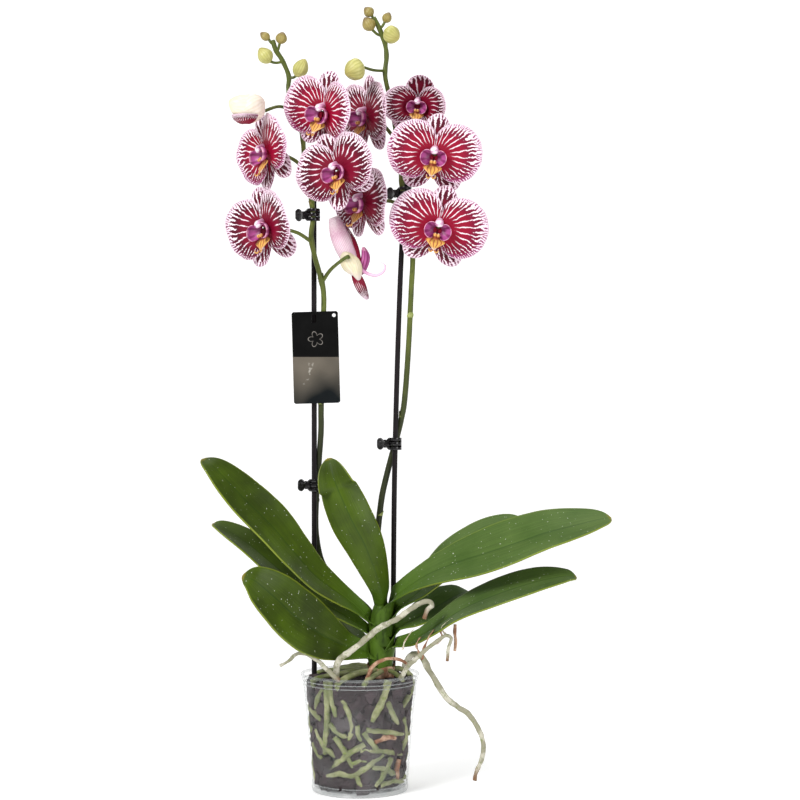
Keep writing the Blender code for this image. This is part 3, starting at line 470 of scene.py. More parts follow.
def label_print():
    """Offset print on coated card: a black upper half with a finely drawn flower, and a lower half of
    scuffed foil with a painted reflection: warm grey near the middle, dark in blotches toward the bottom."""
    material, tree, shader = new_finish("coated_card_foil_printed", Specular_IOR_Level=0.15)
    place = add_node(tree, "TexCoord", {}).outputs
    local = add_node(tree, "Mapping", {"Vector": place["Object"], "Location": LABEL_CENTRE * -MM})
    split = add_node(tree, "SeparateXYZ", {0: local})
    x, z = split.outputs[0], split.outputs[2]
    foil_side = add_node(tree, "Math", {0: z, 1: 0.0005}, operation="LESS_THAN")
    scuff = add_node(tree, "TexNoise", {"Vector": local, "Scale": grain_of(17), "Detail": 6.0})
    # Painted reflection on the foil: low blotches and the height on the card blend it from dark at the bottom
    # to warm grey near the middle.
    reflection_blotches = add_node(tree, "TexNoise", {"Vector": local, "Scale": grain_of(42), "Detail": 1.0})
    painted_reflection_height = add_node(tree, "Math", {0: reflection_blotches, 1: 0.08, 2: z}, operation="MULTIPLY_ADD")
    painted_reflection_share = add_node(tree, "MapRange", {"Value": painted_reflection_height, 1: 0.0, 2: 0.045, 3: 0.0, 4: 1.0})
    foil = add_node(tree, "Mix", {0: painted_reflection_share, 6: tint("#1c2022"), 7: tint("#7e766a")}, data_type="RGBA")
    marks = add_node(tree, "MapRange", {"Value": scuff, 1: 0.64, 2: 0.68, 3: 0.0, 4: 0.6})
    rubbed = add_node(tree, "Mix", {0: marks, 6: foil, 7: tint("#d8d4ca")}, data_type="RGBA")
    dz = add_node(tree, "Math", {0: z, 1: 0.019}, operation="SUBTRACT")
    angle = add_node(tree, "Math", {0: dz, 1: x}, operation="ARCTAN2")
    lobes = add_node(tree, "Math", {0: angle, 1: 2.5}, operation="MULTIPLY")
    wave = add_node(tree, "Math", {0: lobes}, operation="SINE")
    swell = add_node(tree, "Math", {0: wave}, operation="ABSOLUTE")
    outline = add_node(tree, "Math", {0: swell, 1: 0.0045, 2: 0.0035}, operation="MULTIPLY_ADD")
    flat = add_node(tree, "CombineXYZ", {0: x, 1: dz})
    length = add_node(tree, "VectorMath", {0: flat}, operation="LENGTH")
    near = add_node(tree, "Math", {0: length, 1: outline}, operation="SUBTRACT")
    line_off = add_node(tree, "Math", {0: near}, operation="ABSOLUTE")
    line = add_node(tree, "MapRange", {"Value": line_off, 1: 0.0002, 2: 0.0005, 3: 0.85, 4: 0.0})
    black = add_node(tree, "Mix", {0: line, 6: tint("#050505"), 7: tint("#8f8a84")}, data_type="RGBA")
    colour = add_node(tree, "Mix", {0: foil_side, 6: black, 7: rubbed}, data_type="RGBA")
    shine = add_node(tree, "MapRange", {"Value": scuff, 3: 0.22, 4: 0.5})
    metal = add_node(tree, "Math", {0: foil_side, 1: 0.55}, operation="MULTIPLY")
    set_inputs(shader, {"Base Color": colour, "Roughness": shine, "Metallic": metal})
    return material


WINE = ("#94062c", "#780a30", "#8e2f66")
DARK_WINE = ("#7a0628", "#560822", "#6f1c44")
PAPER = ("#f9e9f1", "#f0d8e6")
BACK = (("#dab8c8", "#cf9db6", "#c9a0b6"), ("#f6ecea", "#f3e3e8"))
FINISHES = {
    "petal": petal_flesh("petal_velvet_wine_veined", 14.0, 0.2, WINE, PAPER),
    # Darker copy of the petal skin: its deeper wine is painted shade for petals under or behind other
    # flowers, and its wine heart is also fuller.
    "petal_painted_shade_full_heart": petal_flesh("petal_velvet_veined_painted_shade", 13.0, 0.3, DARK_WINE, PAPER),
    "hood": petal_flesh("petal_velvet_dark_striped", 7.0, 0.04, DARK_WINE, PAPER),
    "sepal": petal_flesh("sepal_velvet_wine_veined", 6.0, 0.30, DARK_WINE, PAPER),
    "petal_back": petal_flesh("petal_back_pale", 12.0, 0.05, *BACK),
    "side_lobe": lip_flesh("lip_side_lobe_waxy_magenta", "#b65596", "#e2a0bd", "#7c2058", 3.0),
    "mid_lobe": lip_flesh("lip_middle_lobe_waxy_yellow", "#e6b45c", "#f6e6d2", "#9a2030", 5.0),
    "column": lip_flesh("column_waxy_rose", "#ecc6dc", "#f6e8f1", "#c77fae", 2.0),
    "leaf": leaf_skin("leaf_cuticle_waxed_green", "#485e0f", "#303f0a", "#87942f", 0.36),
    "leaf_under": leaf_skin("leaf_underside_pale", "#566e33", "#466026", "#7d9340", 0.5),
    "sheath": patched("leaf_base_fresh_green", ("#3b5316", "#526f22", "#2a3d10"), 22.0, 0.4, 0.3,
                      gloss=0.15, stretch=(1, 1, 0.4)),
    "stem": stem_skin(),
    "bract": patched("dry_bract_brown", ("#7d7440", "#66702f", "#8a6a44"), 8.3, 0.7, 0.3),
    "node_scale": patched("stem_node_scale_pale_green", ("#8b9650", "#a1aa66", "#727c38"), 6.0, 0.5, 0.2),
    "bud": bud_skin("bud_sepal_cream_green", "#d8d28c", "#a3a14f", "#b3a95a"),
    "bud_small": bud_skin("bud_sepal_olive", "#b09f5c", "#86783e", "#664a34"),
    "bud_opening": bud_skin("bud_sepal_white_rose", "#f1e6df", "#dccbb6", "#efe6c0"),
    "bud_cream": bud_skin("sepal_back_cream", "#f0e7d2", "#d3c79c", "#e9d6dc"),
    "aerial_root": root_skin("root_velamen_silver", ("#9a9781", "#c6c2b1", "#7b8550"), "#7d5538"),
    "green_root": patched("root_velamen_wet_green", ("#7a8055", "#a2a47a", "#7a8c3a"), 16.7, 0.55, 0.5),
    "dry_root": patched("root_dry_orange_brown", ("#966a50", "#c4a086", "#6b4632"), 9.1, 0.8, 0.6),
    "shred": patched("dry_sheath_papery", ("#e6ddc9", "#cdbfa2", "#8c5a3c"), 11.1, 0.8, 0.4),
    "bark": patched("fir_bark_chips", ("#33282a", "#4b3e42", "#241b1d"), 14.3, 0.85, 0.8),
    "pot": clear_pot_plastic(),
    "stake": moulded_plastic("stake_plastic_extruded_dark", "#130d10", "#22191d", 0.45, 5.6, 0.2),
    "clip": moulded_plastic("clip_plastic_moulded_black", "#080708", "#151315", 0.18, 3.8),
    "label": label_print(),
}


# ------------------------------------------------------------------ pot and what it holds

POT_LOW, POT_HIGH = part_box("nursery_pot")
POT_HEIGHT = POT_HIGH[2] / MM
POT_TOP_RADIUS = 60.0
POT_BASE_RADIUS = 49.0
POT_WALL = 1.2
RIM_HOOPS = (114.6, 110.6)
FOOT_SLOTS = 8
FOOT_SLOT_SIZE = (8.0, 3.2, 6.0)
CHIP_CLEARANCE = 1.5
WALL_CHIPS = 430
TOP_CHIPS = 200
TOP_REACH = 50.0
ROOTS_BEHIND = 22
ROOTS_OVER_TOP = 9
ROOT_PLUMP = 1.15


def wall_radius(height):
    return POT_BASE_RADIUS + (POT_TOP_RADIUS - POT_BASE_RADIUS) * height / POT_HEIGHT


def build_pot():
    """The moulding's profile, spun: rim bead, two hoops under it, foot ring, channel and boss, with slots cut
    round the foot."""
    top = POT_HEIGHT
    brim = wall_radius(top)
    profile = [(0.0, 4.2), (wall_radius(3) - POT_WALL - 2.0, 4.2), (wall_radius(5) - POT_WALL, 5.6),
               (brim - POT_WALL, top - 0.6), (brim - POT_WALL + 0.5, top), (brim + 0.8, top),
               (brim + 1.4, top - 0.6), (brim + 1.4, top - 1.9), (brim + 0.5, top - 2.6)]
    for height in RIM_HOOPS:
        for rise, out in ((0.9, 0.0), (0.35, 0.6), (-0.35, 0.6), (-0.9, 0.0)):
            profile.append((wall_radius(height + rise) + out, height + rise))
    profile += [(wall_radius(6.5), 6.5), (wall_radius(5.0) + 0.7, 5.2), (wall_radius(3.0) + 0.8, 3.0),
                (POT_BASE_RADIUS + 0.2, 0.4), (POT_BASE_RADIUS - 0.6, 0.0), (45.4, 0.0), (44.0, 3.0),
                (19.0, 3.0), (18.0, 0.0), (0.0, 0.0)]
    bm = new_sheet()
    add_spun(bm, profile, 120)
    bmesh.ops.remove_doubles(bm, verts=bm.verts, dist=WELD)
    pot = make_piece("clear_pot", bm, ["pot"], ["nursery_pot"])
    cutter = bmesh.new()
    middle = Matrix.Translation(Vector((POT_BASE_RADIUS, 0.0, 9.0)) * MM)
    size = Matrix.Diagonal((*(Vector(FOOT_SLOT_SIZE) * MM), 1.0))
    for i in range(FOOT_SLOTS):
        turn = Matrix.Rotation(math.tau * (i + 0.5) / FOOT_SLOTS, 4, "Z")
        bmesh.ops.create_cube(cutter, size=1.0, matrix=turn @ middle @ size)
    carve(pot, cutter)
    pot.data.set_sharp_from_angle(angle=math.radians(50))


def add_chip(bm, centre, size, turn, draw):
    """One bark chip: a rough split block, knocked about; turn sets which way it lies."""
    for vert in bmesh.ops.create_uvsphere(bm, u_segments=7, v_segments=5, radius=1.0)["verts"]:
        blocky = [math.copysign(abs(value) ** 0.55, value) * 0.5 + draw.uniform(-0.09, 0.09)
                  for value in vert.co]
        vert.co = (centre + turn @ Vector([blocky[k] * size[k] for k in range(3)])) * MM


def build_bark():
    """A dark core with chips pressed against the roots all round it and heaped on top."""
    draw = random.Random(7)
    bm = new_sheet()
    add_spun(bm, [(0.0, 108.0), (51.5, 106.0), (41.0, 6.0), (0.0, 5.0)], 32)
    for _ in range(WALL_CHIPS):
        height = draw.uniform(9.0, 112.0)
        angle = draw.uniform(0, math.tau)
        size = (draw.uniform(4, 7), draw.uniform(9, 17), draw.uniform(8, 14))
        reach = wall_radius(height) - POT_WALL - CHIP_CLEARANCE - size[0] * 0.5 - draw.uniform(0.0, 1.4)
        centre = Vector((reach * math.cos(angle), reach * math.sin(angle), height))
        lie = Matrix.Rotation(angle, 3, "Z") @ Matrix.Rotation(draw.uniform(0, math.pi), 3, "X")
        add_chip(bm, centre, size, lie, draw)
    for _ in range(TOP_CHIPS):
        reach = TOP_REACH * math.sqrt(draw.random())
        angle = draw.uniform(0, math.tau)
        size = (draw.uniform(8, 16), draw.uniform(6, 11), draw.uniform(4, 7))
        height = draw.uniform(107.0, 113.0) + 3.5 * (reach / TOP_REACH) ** 2
        centre = Vector((reach * math.cos(angle), reach * math.sin(angle), height))
        lie = Matrix.Rotation(angle, 3, "Z") @ Matrix.Rotation(draw.uniform(-0.6, 0.6), 3, "X")
        add_chip(bm, centre, size, lie, draw)
    piece = make_piece("bark_chips", bm, ["bark"], ["bark_mix"], weld=False)
    piece.data.set_sharp_from_angle(angle=math.radians(35))


# Roots against the wall: (angle round the pot, height), in degrees and mm, the front first
WALL_ROOTS = [
    ([(-127, 118), (-128, 95), (-131, 70), (-137, 42)], 3.0), ([(-132, 110), (-141, 100), (-148, 88)], 2.6),
    ([(-122, 118), (-121, 100), (-117, 82)], 2.6), ([(-126, 74), (-115, 66), (-103, 61)], 2.4),
    ([(-57, 119), (-62, 104), (-69, 90), (-76, 78)], 3.4), ([(-58, 97), (-50, 84), (-40, 73)], 2.6),
    ([(-2, 112), (-16, 100), (-33, 89)], 2.8), ([(-82, 69), (-55, 66), (-28, 61)], 2.7),
    ([(-72, 57), (-56, 61), (-42, 58)], 2.5), ([(-92, 74), (-91, 66), (-87, 58)], 2.5),
    ([(-85, 67), (-78, 59), (-67, 48)], 2.7), ([(-83, 55), (-97, 48), (-111, 39), (-134, 25)], 2.8),
    ([(-89, 49), (-60, 47), (-26, 40)], 2.7),
    ([(-134, 20), (-115, 24), (-97, 23), (-77, 34), (-59, 43)], 2.8),
    ([(-120, 61), (-109, 50), (-98, 31)], 2.6), ([(-94, 24), (-90, 16), (-85, 9)], 2.5),
    ([(-47, 39), (-56, 26), (-69, 11)], 2.7), ([(-34, 36), (-36, 26), (-33, 15)], 2.6),
    ([(-178, 53), (-162, 46), (-144, 36)], 2.5), ([(-178, 86), (-160, 84), (-139, 77)], 2.5),
    ([(-74, 31), (-56, 28), (-37, 20)], 2.4), ([(-99, 35), (-88, 38), (-77, 37)], 2.4),
    ([(-62, 12), (-38, 14), (-14, 10)], 2.4), ([(-150, 66), (-136, 50), (-120, 41)], 2.5),
    ([(-108, 100), (-101, 84), (-98, 70), (-104, 56)], 2.4), ([(-30, 78), (-20, 60), (-26, 44)], 2.6),
]


def wall_point(angle, height, inward=3.3):
    radius = wall_radius(height) - POT_WALL - inward
    turn = math.radians(angle)
    return (radius * math.cos(turn), radius * math.sin(turn), height)


def build_wall_roots():
    """Green-grey roots pressed to the clear wall, and their like round the back."""
    draw = random.Random(11)
    bm = new_sheet()
    for i, (stations, radius) in enumerate(WALL_ROOTS):
        weave = [wall_point(a, h, 3.7 + 0.5 * math.sin(i * 2.1 + k)) for k, (a, h) in enumerate(stations)]

        def plump(t, r=radius):
            return ROOT_PLUMP * r * (1 - 0.35 * smooth_step(t, 0.8, 1.0))

        add_tube(bm, smooth_route(weave, 22), plump, 10, i % 9 == 8, 0.35, i)
    for i in range(ROOTS_BEHIND):
        angle = 8 + i * 7.6 + draw.uniform(-6, 6)
        height = draw.uniform(40, 116)
        stations = [(angle, height)]
        for _ in range(3):
            angle += draw.uniform(-22, 22)
            height = max(height - draw.uniform(8, 26), 12)
            stations.append((angle, height))
        route = smooth_route([wall_point(a, h) for a, h in stations], 22)
        add_tube(bm, route, draw.uniform(2.2, 2.9), 10, 0, 0.35, i + 40)
    for i in range(ROOTS_OVER_TOP):
        angle = math.radians(-150 + i * 37)
        start = Vector((22 + 9 * math.cos(angle), 8 * math.sin(angle), 124))
        end = Vector(wall_point(math.degrees(angle) + draw.uniform(-15, 15), 117, 6.0))
        middle = start.lerp(end, 0.5) + Vector((0, 0, draw.uniform(1, 5)))
        route = smooth_route([start, middle, end, end + Vector((0, 0, -7))], 24)
        add_tube(bm, route, draw.uniform(2.3, 3.2), 10, 0, 0.3, i + 80)
    make_piece("wall_roots", bm, ["green_root", "dry_root"], ["root_mass"])


AERIAL_ROOTS = {
    "aerial_root_front": ([(-24, -40, 119), (-21, -48, 138), (-8, -54, 150), (6, -56, 161), (20, -57, 173),
                           (36, -57, 181), (50, -57, 191), (62, -56, 198), (70, -55, 200), (74, -54, 196),
                           (69, -53, 191), (66, -52, 182)], 3.3, 90, (1.05, 0.7), "aerial_root"),
    "aerial_root_left": ([(-79, -62, 136), (-70, -63, 141), (-62, -62, 148), (-52, -60, 147),
                          (-42, -57, 141), (-34, -54, 133), (-27, -52, 126), (-20, -50, 119)],
                         2.5, 60, (0.6, 1.0), "aerial_root"),
    "aerial_root_hanging": ([(46, -8, 128), (50, -12, 136), (56, -17, 142), (64, -24, 140), (70, -30, 129),
                             (78, -34, 116), (88, -37, 101), (100, -39, 91), (110, -40, 85), (118, -41, 74),
                             (124, -42, 62), (126, -42, 50), (124, -42, 38), (119, -41, 26), (117, -40, 17)],
                            3.1, 110, (1.1, 0.7), "aerial_root"),
    "aerial_root_right": ([(42, -36, 119), (49, -43, 132), (59, -52, 143), (67, -56, 151), (78, -60, 160),
                           (87, -60, 166), (93, -59, 163), (90, -58, 153), (89, -58, 140)],
                          2.5, 70, (1.0, 0.6), "aerial_root"),
    "aerial_root_dry": ([(8, -40, 119), (13, -43, 132), (23, -45, 139), (34, -44, 141), (44, -40, 138),
                         (49, -32, 133)], 1.7, 50, (1.3, 0.8), "dry_root"),
}


# Papery strips left by shed leaves, and short stubs of dead root: route, half width, finish
SHREDS = [
    ([(44, -40, 149), (46, -42, 157), (50, -44, 164), (55, -43, 170)], 1.6, 2),
    ([(64, -47, 140), (66, -48, 153), (71, -49, 163), (76, -49, 171)], 2.2, 3),
    ([(61, -46, 146), (58, -47, 155), (62, -48, 163)], 1.5, 3),
    ([(88, -57, 166), (83, -57, 173), (88, -57, 179), (94, -57, 183), (98, -57, 180)], 1.2, 2),
    ([(82, -52, 170), (84, -52, 162), (79, -52, 156)], 1.6, 3),
]


def build_aerial_roots():
    for i, (name, (route, radius, count, taper, finish)) in enumerate(AERIAL_ROOTS.items()):
        bm = new_sheet()

        def thick(t, r=radius, ends=taper):
            return r * (ends[0] + (ends[1] - ends[0]) * t)

        add_tube(bm, smooth_route(route, count), thick, 14, 0, 0.32, i * 3.7)
        if name == "aerial_root_right":
            for strip, width, material in SHREDS:
                add_ribbon(bm, strip, lambda t, w=width: w * (0.5 + 0.6 * math.sin(7 * t + w) ** 2),
                           (0.8, 0.4, 0.4), 0.8, material, (4, 14))
            tip = [(97, -40, 175), (97, -40, 166), (98, -40, 157), (97, -40, 148)]
            add_tube(bm, smooth_route(tip, 16), 1.6, 8, 1, 0.3)
        finishes = [finish, "dry_root", "shred", "dry_root"]
        make_piece(name + "_velamen", bm, finishes, [name])


# ------------------------------------------------------------------ crown and leaves

LEAVES = {
    "leaf_left_upper": ([(7, -4, 178), (-12, -18, 197), (-43, -42, 223), (-66, -56, 250), (-88, -64, 277),
                         (-116, -70, 305), (-144, -67, 334), (-157, -62, 343)],
                        28, (0.35, 0.85, 0.40), (0.45, 0.75, 0.45), 0.16),
    "leaf_left_middle": ([(8, 0, 162), (-14, -9, 179), (-50, -20, 201), (-82, -26, 229), (-113, -30, 255),
                          (-141, -28, 273), (-150, -26, 276)],
                         25, (0.30, 0.90, 0.30), (0.30, 0.88, 0.38), 0.16),
    "leaf_left_front": ([(8, -5, 143), (-16, -25, 152), (-40, -56, 168), (-62, -82, 187), (-82, -100, 208),
                         (-101, -108, 225), (-113, -108, 229)],
                        30, (0.45, 0.75, 0.50), (0.60, 0.60, 0.52), 0.12),
    "leaf_left_back": ([(6, 5, 147), (-14, 24, 160), (-33, 52, 180), (-46, 80, 202), (-56, 102, 215)],
                       26, (0.75, 0.45, 0.35), (0.80, 0.50, 0.30), 0.14),
    "leaf_upright": ([(24, -2, 189), (22, -14, 206), (15, -25, 230), (5, -33, 256), (-7, -37, 279),
                      (-17, -38, 301), (-25, -37, 321), (-31, -31, 343)],
                     22, (0.92, 0.30, 0.20), (0.90, -0.20, 0.25), 0.34),
    "leaf_right_large": ([(37, -4, 200), (65, -18, 221), (96, -34, 236), (126, -50, 247), (156, -62, 258),
                          (186, -70, 269), (216, -74, 277), (240, -74, 283), (252, -72, 285)],
                         36, (0.10, 0.68, 0.73), (0.00, 0.88, 0.45), 0.13),
    "leaf_right_behind": ([(40, 1, 188), (60, 10, 202), (82, 26, 222), (104, 42, 243), (132, 52, 260),
                           (160, 58, 269), (178, 60, 266)],
                          30, (-0.15, 0.85, 0.45), (0.00, 0.90, 0.40), 0.12),
    "leaf_right_lower": ([(37, -5, 150), (56, -20, 157), (78, -36, 172), (107, -55, 193), (146, -72, 211),
                          (184, -80, 223), (208, -79, 227), (217, -77, 225)],
                         26, (0.10, 0.85, 0.50), (0.05, 0.90, 0.40), 0.14),
    "leaf_right_back": ([(38, 4, 166), (58, 14, 175), (82, 29, 187), (104, 47, 197), (116, 59, 198)],
                        24, (-0.30, 0.75, 0.50), (-0.30, 0.80, 0.30), 0.14),
}


def leaf_width(share):
    """Strap-shaped outline: a clasping base, widest past the middle, and a blunt tip."""
    base = 0.30 + 0.70 * math.sin(min(share / 0.62, 1.0) * math.pi / 2) ** 1.3
    tip = max(1.0 - max((share - 0.55) / 0.45, 0.0) ** 2.6, 0.0) ** 0.55
    return max(base * tip, 0.012)


def leaf_section(route, half_width, across_base, across_tip, fold, side, share):
    """A point of the blade, how far its raised edge lifts it, and which way is up."""
    spot = share * (len(route) - 1)
    low = min(int(spot), len(route) - 2)
    middle = route[low].lerp(route[low + 1], spot - low)
    along = (route[min(low + 4, len(route) - 1)] - route[max(low - 3, 0)]).normalized()
    across = Vector(across_base).lerp(Vector(across_tip), share)
    across = (across - along * across.dot(along)).normalized()
    up = along.cross(across)
    if up.z < 0:
        up = -up
    width = half_width * leaf_width(share)
    clasp = 1 + 2.2 * (1 - smooth_step(share, 0.0, 0.16))
    return middle + across * width * side, fold * clasp * width * abs(side) ** 1.5, up


def build_leaf(name, rib, half_width, across_base, across_tip, fold, seed):
    bm = new_sheet()
    route = smooth_route(rib, 161)

    def place(s, t):
        side = s * 2 - 1
        side = math.copysign(abs(side) ** 0.92, side)
        share = 1.0 - (1.0 - t) ** 1.25
        edge = 1 + 0.012 * noise.noise(Vector((share * 14, seed * 3.1, side)))
        point, lift, up = leaf_section(route, half_width, across_base, across_tip, fold, side * edge, share)
        lift -= 1.0 * math.exp(-(side / 0.05) ** 2) * (1 - share)
        lift += 1.0 * math.sin(share * 9 + seed + side * 1.3) * abs(side) * smooth_step(share, 0.1, 0.5)
        return point + up * lift

    add_sheet(bm, 22, 72, place)
    make_piece(name + "_blade", bm, ["leaf", "leaf_under"], [name], wall=LEAF_WALL,
               wall_finish=1, weld=False)


CROWN_X = 22.0
CROWN_FOOT = 115.5
CROWN_FLATNESS = 0.88
SHEATH_LENGTH = 30.0


def build_crown():
    """The short stem, wrapped in the clasping base of each leaf and of a few that were shed."""
    bm = new_sheet()
    for rib, half_width, across_base, across_tip, fold in LEAVES.values():
        route = smooth_route(rib, 161)
        facing = math.atan2(rib[1][1] - rib[0][1], rib[1][0] - rib[0][0])
        tangent = Vector((-math.sin(facing), math.cos(facing), 0))
        hand = 1 if tangent.dot(Vector(across_base)) > 0 else -1
        mouth = rib[0][2]
        foot = max(mouth - SHEATH_LENGTH, CROWN_FOOT + 0.5)

        def place(s, t):
            side = (s * 2 - 1) * hand
            angle = facing + side * math.radians(118 - 45 * t)
            radius = 10.8 + 2.6 * t
            round_stem = Vector((CROWN_X + radius * math.cos(angle),
                                 CROWN_FLATNESS * radius * math.sin(angle),
                                 foot + (mouth - foot) * t * (0.72 + 0.28 * math.cos(side * math.pi / 2))))
            point, lift, up = leaf_section(route, half_width, across_base, across_tip, fold, s * 2 - 1, 0.0)
            return round_stem.lerp(point + up * lift, smooth_step(t, 0.35, 1.0))

        add_sheet(bm, 24, 18, place)
    for k in range(4):
        def scale(s, t, k=k):
            angle = math.radians(-150 + k * 97) + (s - 0.5) * math.radians(210 - 90 * t)
            radius = 12.2 + 1.4 * t + 0.6 * math.sin(s * 21 + k)
            return Vector((CROWN_X + radius * math.cos(angle), radius * CROWN_FLATNESS * math.sin(angle),
                           CROWN_FOOT + (10.0 + 2.5 * k) * t * (0.7 + 0.3 * math.cos((s - 0.5) * math.pi))))

        add_sheet(bm, 20, 8, scale, 1)
    stem = smooth_route([(CROWN_X, 0, CROWN_FOOT), (CROWN_X, 0, 150), (CROWN_X, -1, 190)], 24)
    add_tube(bm, stem, lambda t: 10.4 * (1 - 0.62 * t), 18, 0, 0.1)
    make_piece("crown_sheaths", bm, ["sheath", "dry_root"], ["crown"], wall=SHEATH_WALL)


# ------------------------------------------------------------------ flowers

PETAL_LENGTH = 50.0
SEPAL_LENGTH = 42.0
PETAL_ANGLES = (-80.0, 80.0)
SEPAL_ANGLES = (0.0, 142.0, -142.0)
FLOWERS = {
    "flower_1": ((-36, -46, 694), 36, 8, 14, 4, 22, 0.99),
    "flower_2": ((-21, -70, 632), 30, 8, -14, 2, 12, 0.97),
    "flower_3": ((-96, -20, 656), 52, 8, -17, 4, 10, 0.98),
    "flower_4": ((-96, -40, 577), 36, 8, -12, 2, 22, 1.02),
    "flower_5": ((6, 4, 697), 56, 4, 4, 2, 8, 1.00),
    "flower_6": ((3, -24, 605), 54, 6, 2, 2, 6, 1.00),
    "flower_9": ((76, -50, 650), 4, 8, 7, 14, 6, 0.99),
    "flower_10": ((80, -47, 577), 0, 8, 13, 4, 4, 1.03),
}
# Half-open flowers: the same heart and facing, for their stalks; their petals are set out below
HALF_OPEN = {
    "flower_7": ((-11, -18, 548), -165, 0, 0),
    "flower_8": ((60, -12, 707), 8, 14, 6),
}
# Flowers hanging under or behind others: their petals take the darker petal copy as painted shade.
SHADED_FLOWERS = ("flower_2", "flower_4", "flower_5", "flower_6")
LIP_FINISHES = ["side_lobe", "mid_lobe", "column"]
SEPAL_TWIST = {"flower_2": -15.0}


def flower_frame(centre, turn, tip, roll):
    """Local -Y is the way the flower faces, local +Z its upper sepal; millimetres."""
    return (Matrix.Translation(Vector(centre)) @ Matrix.Rotation(math.radians(-turn), 4, "Z")
            @ Matrix.Rotation(math.radians(tip), 4, "X") @ Matrix.Rotation(math.radians(roll), 4, "Y"))


def add_lobe(bm, pose, middle, length, roundness, span, swing, back, bow, seed, finish=0, ruffle=1.0,
             curl=0.0):
    """One petal or sepal: rays from the heart out to a rounded lobe, swung forward, gently ruffled, and
    rolled forward over itself by curl degrees."""
    forward = math.radians(swing)

    def place(s, t):
        offset = (s - 0.5) * 2 * span
        angle = math.radians(middle + offset)
        share = 0.05 + 0.95 * t
        outline = length * max(math.cos(math.radians(offset)), 0.0) ** roundness
        outline *= 1 + 0.014 * noise.noise(Vector((offset * 0.07, seed * 7.7, 0.0)))
        reach = share * outline
        y = back + bow * reach * reach * 0.001
        if curl:
            turn = math.radians(curl) * share
            y -= reach * (1 - math.cos(turn)) / turn
            reach *= math.sin(turn) / turn
        x = reach * math.sin(angle)
        z = reach * math.cos(angle)
        y -= abs(x) * math.sin(forward)
        y += ruffle * share ** 3 * (1.5 * math.sin(offset * 0.075 + seed * 2.3)
                                    + 0.8 * math.sin(offset * 0.19 + seed))
        y += 0.8 * math.exp(-(offset / 9) ** 2) * share * (1 - share) * 2.4
        y += 1.4 * share ** 8
        return pose @ Vector((x * math.cos(forward), y, z))

    add_sheet(bm, 30, 26, place, finish, flip=middle < 0)


def add_ribbon(bm, spine, half_width, across, cup=0.0, finish=0, counts=(14, 22)):
    """A leafy strip along a spine: half_width is a function of t, cup bows its edges along +Y."""
    route = smooth_route(spine, 61)
    across = Vector(across).normalized()

    def place(s, t):
        spot = t * 60
        low = min(int(spot), 59)
        side = s * 2 - 1
        width = half_width(t)
        bend = Vector((0.0, cup * width * side * side, 0.0))
        return route[low].lerp(route[low + 1], spot - low) + across * (width * side) + bend

    add_sheet(bm, *counts, place, finish)


def add_lip(bm, pose, size):
    """Column hooding the throat, two side lobes that make a cup, and a forked middle lobe hanging from it."""
    def column(s, t):
        angle = math.tau * s
        radius = 3.5 * (0.75 + 0.45 * t) * math.sqrt(max(1 - smooth_step(t, 0.7, 1.0) ** 2, 0.0))
        return pose @ (Vector((radius * math.cos(angle), 0.5 - 11.0 * t,
                               6.6 - 3.4 * t + 0.85 * radius * math.sin(angle))) * size)

    add_sheet(bm, 14, 14, column, 2)
    for hand in (-1, 1):
        def side_lobe(s, t, hand=hand):
            turn = math.radians(-64 + 128 * s)
            wide = math.sin(math.pi * (0.10 + 0.82 * s)) ** 0.55
            radius = 3.0 + 8.4 * math.sin(t * 1.8) * wide
            return pose @ (Vector((hand * (0.8 + radius * math.cos(turn)),
                                   -2.5 - 10.0 * t ** 1.25 + math.sin(turn),
                                   -2.6 + 1.05 * radius * math.sin(turn))) * size)

        add_sheet(bm, 14, 14, side_lobe, 0)

        def callus(s, t, hand=hand):
            angle = math.tau * s
            radius = 1.5 * math.sin(math.pi * t) ** 0.6
            return pose @ (Vector((hand * 1.5 + radius * math.cos(angle), -9.0 + radius * math.sin(angle),
                                   -8.5 + 3.6 * t)) * size)

        add_sheet(bm, 10, 8, callus, 1)
        tendril = [Vector((hand * 1.0, -14.5, -20.0)), Vector((hand * 2.2, -16.2, -21.6)),
                   Vector((hand * 4.0, -16.8, -20.4)), Vector((hand * 4.2, -15.6, -18.6))]
        add_tube(bm, smooth_route([pose @ (point * size) for point in tendril], 12),
                 lambda t: size * 0.6 * (1 - 0.7 * t), 6, 1)

    def middle_lobe(s, t):
        side = s * 2 - 1
        width = 3.2 + 5.6 * math.exp(-((t - 0.45) / 0.26) ** 2) - 1.4 * smooth_step(t, 0.7, 1.0)
        return pose @ (Vector((side * width, -5.5 - 9.0 * t + abs(side) ** 1.5 * 2.4,
                               -8.6 - 12.0 * t + 1.8 * side * side)) * size)

    add_sheet(bm, 16, 18, middle_lobe, 1)


def build_flowers():
    for i, (name, (centre, turn, tip, roll, left, right, size)) in enumerate(FLOWERS.items()):
        pose = flower_frame(centre, turn, tip, roll)
        twist = SEPAL_TWIST.get(name, 0.0)
        # Petals of flowers in shade get the darker petal copy: painted shade.
        petal = "petal_painted_shade_full_heart" if name in SHADED_FLOWERS else "petal"
        bm = new_sheet()
        for k, angle in enumerate(SEPAL_ANGLES):
            add_lobe(bm, pose, angle + twist, SEPAL_LENGTH * size, 3.0, 58, 0, 1.8, 1.2, i * 3 + k,
                     ruffle=0.7)
        make_piece(name + "_sepal_ring", bm, ["sepal", "petal_back"], [name + "_sepals"],
                   wall=PETAL_WALL, wall_finish=1)
        bm = new_sheet()
        for k, (angle, swing) in enumerate(zip(PETAL_ANGLES, (left, right))):
            add_lobe(bm, pose, angle, PETAL_LENGTH * size, 0.55, 86, swing, -0.4, 0.0, i * 5 + k)
        make_piece(name + "_petal_pair", bm, [petal, "petal_back"], [name + "_petals"],
                   wall=PETAL_WALL, wall_finish=1)
        bm = new_sheet()
        add_lip(bm, pose, size * 1.1)
        make_piece(name + "_lip_and_column", bm, LIP_FINISHES, [name + "_lip"], wall=PETAL_WALL)


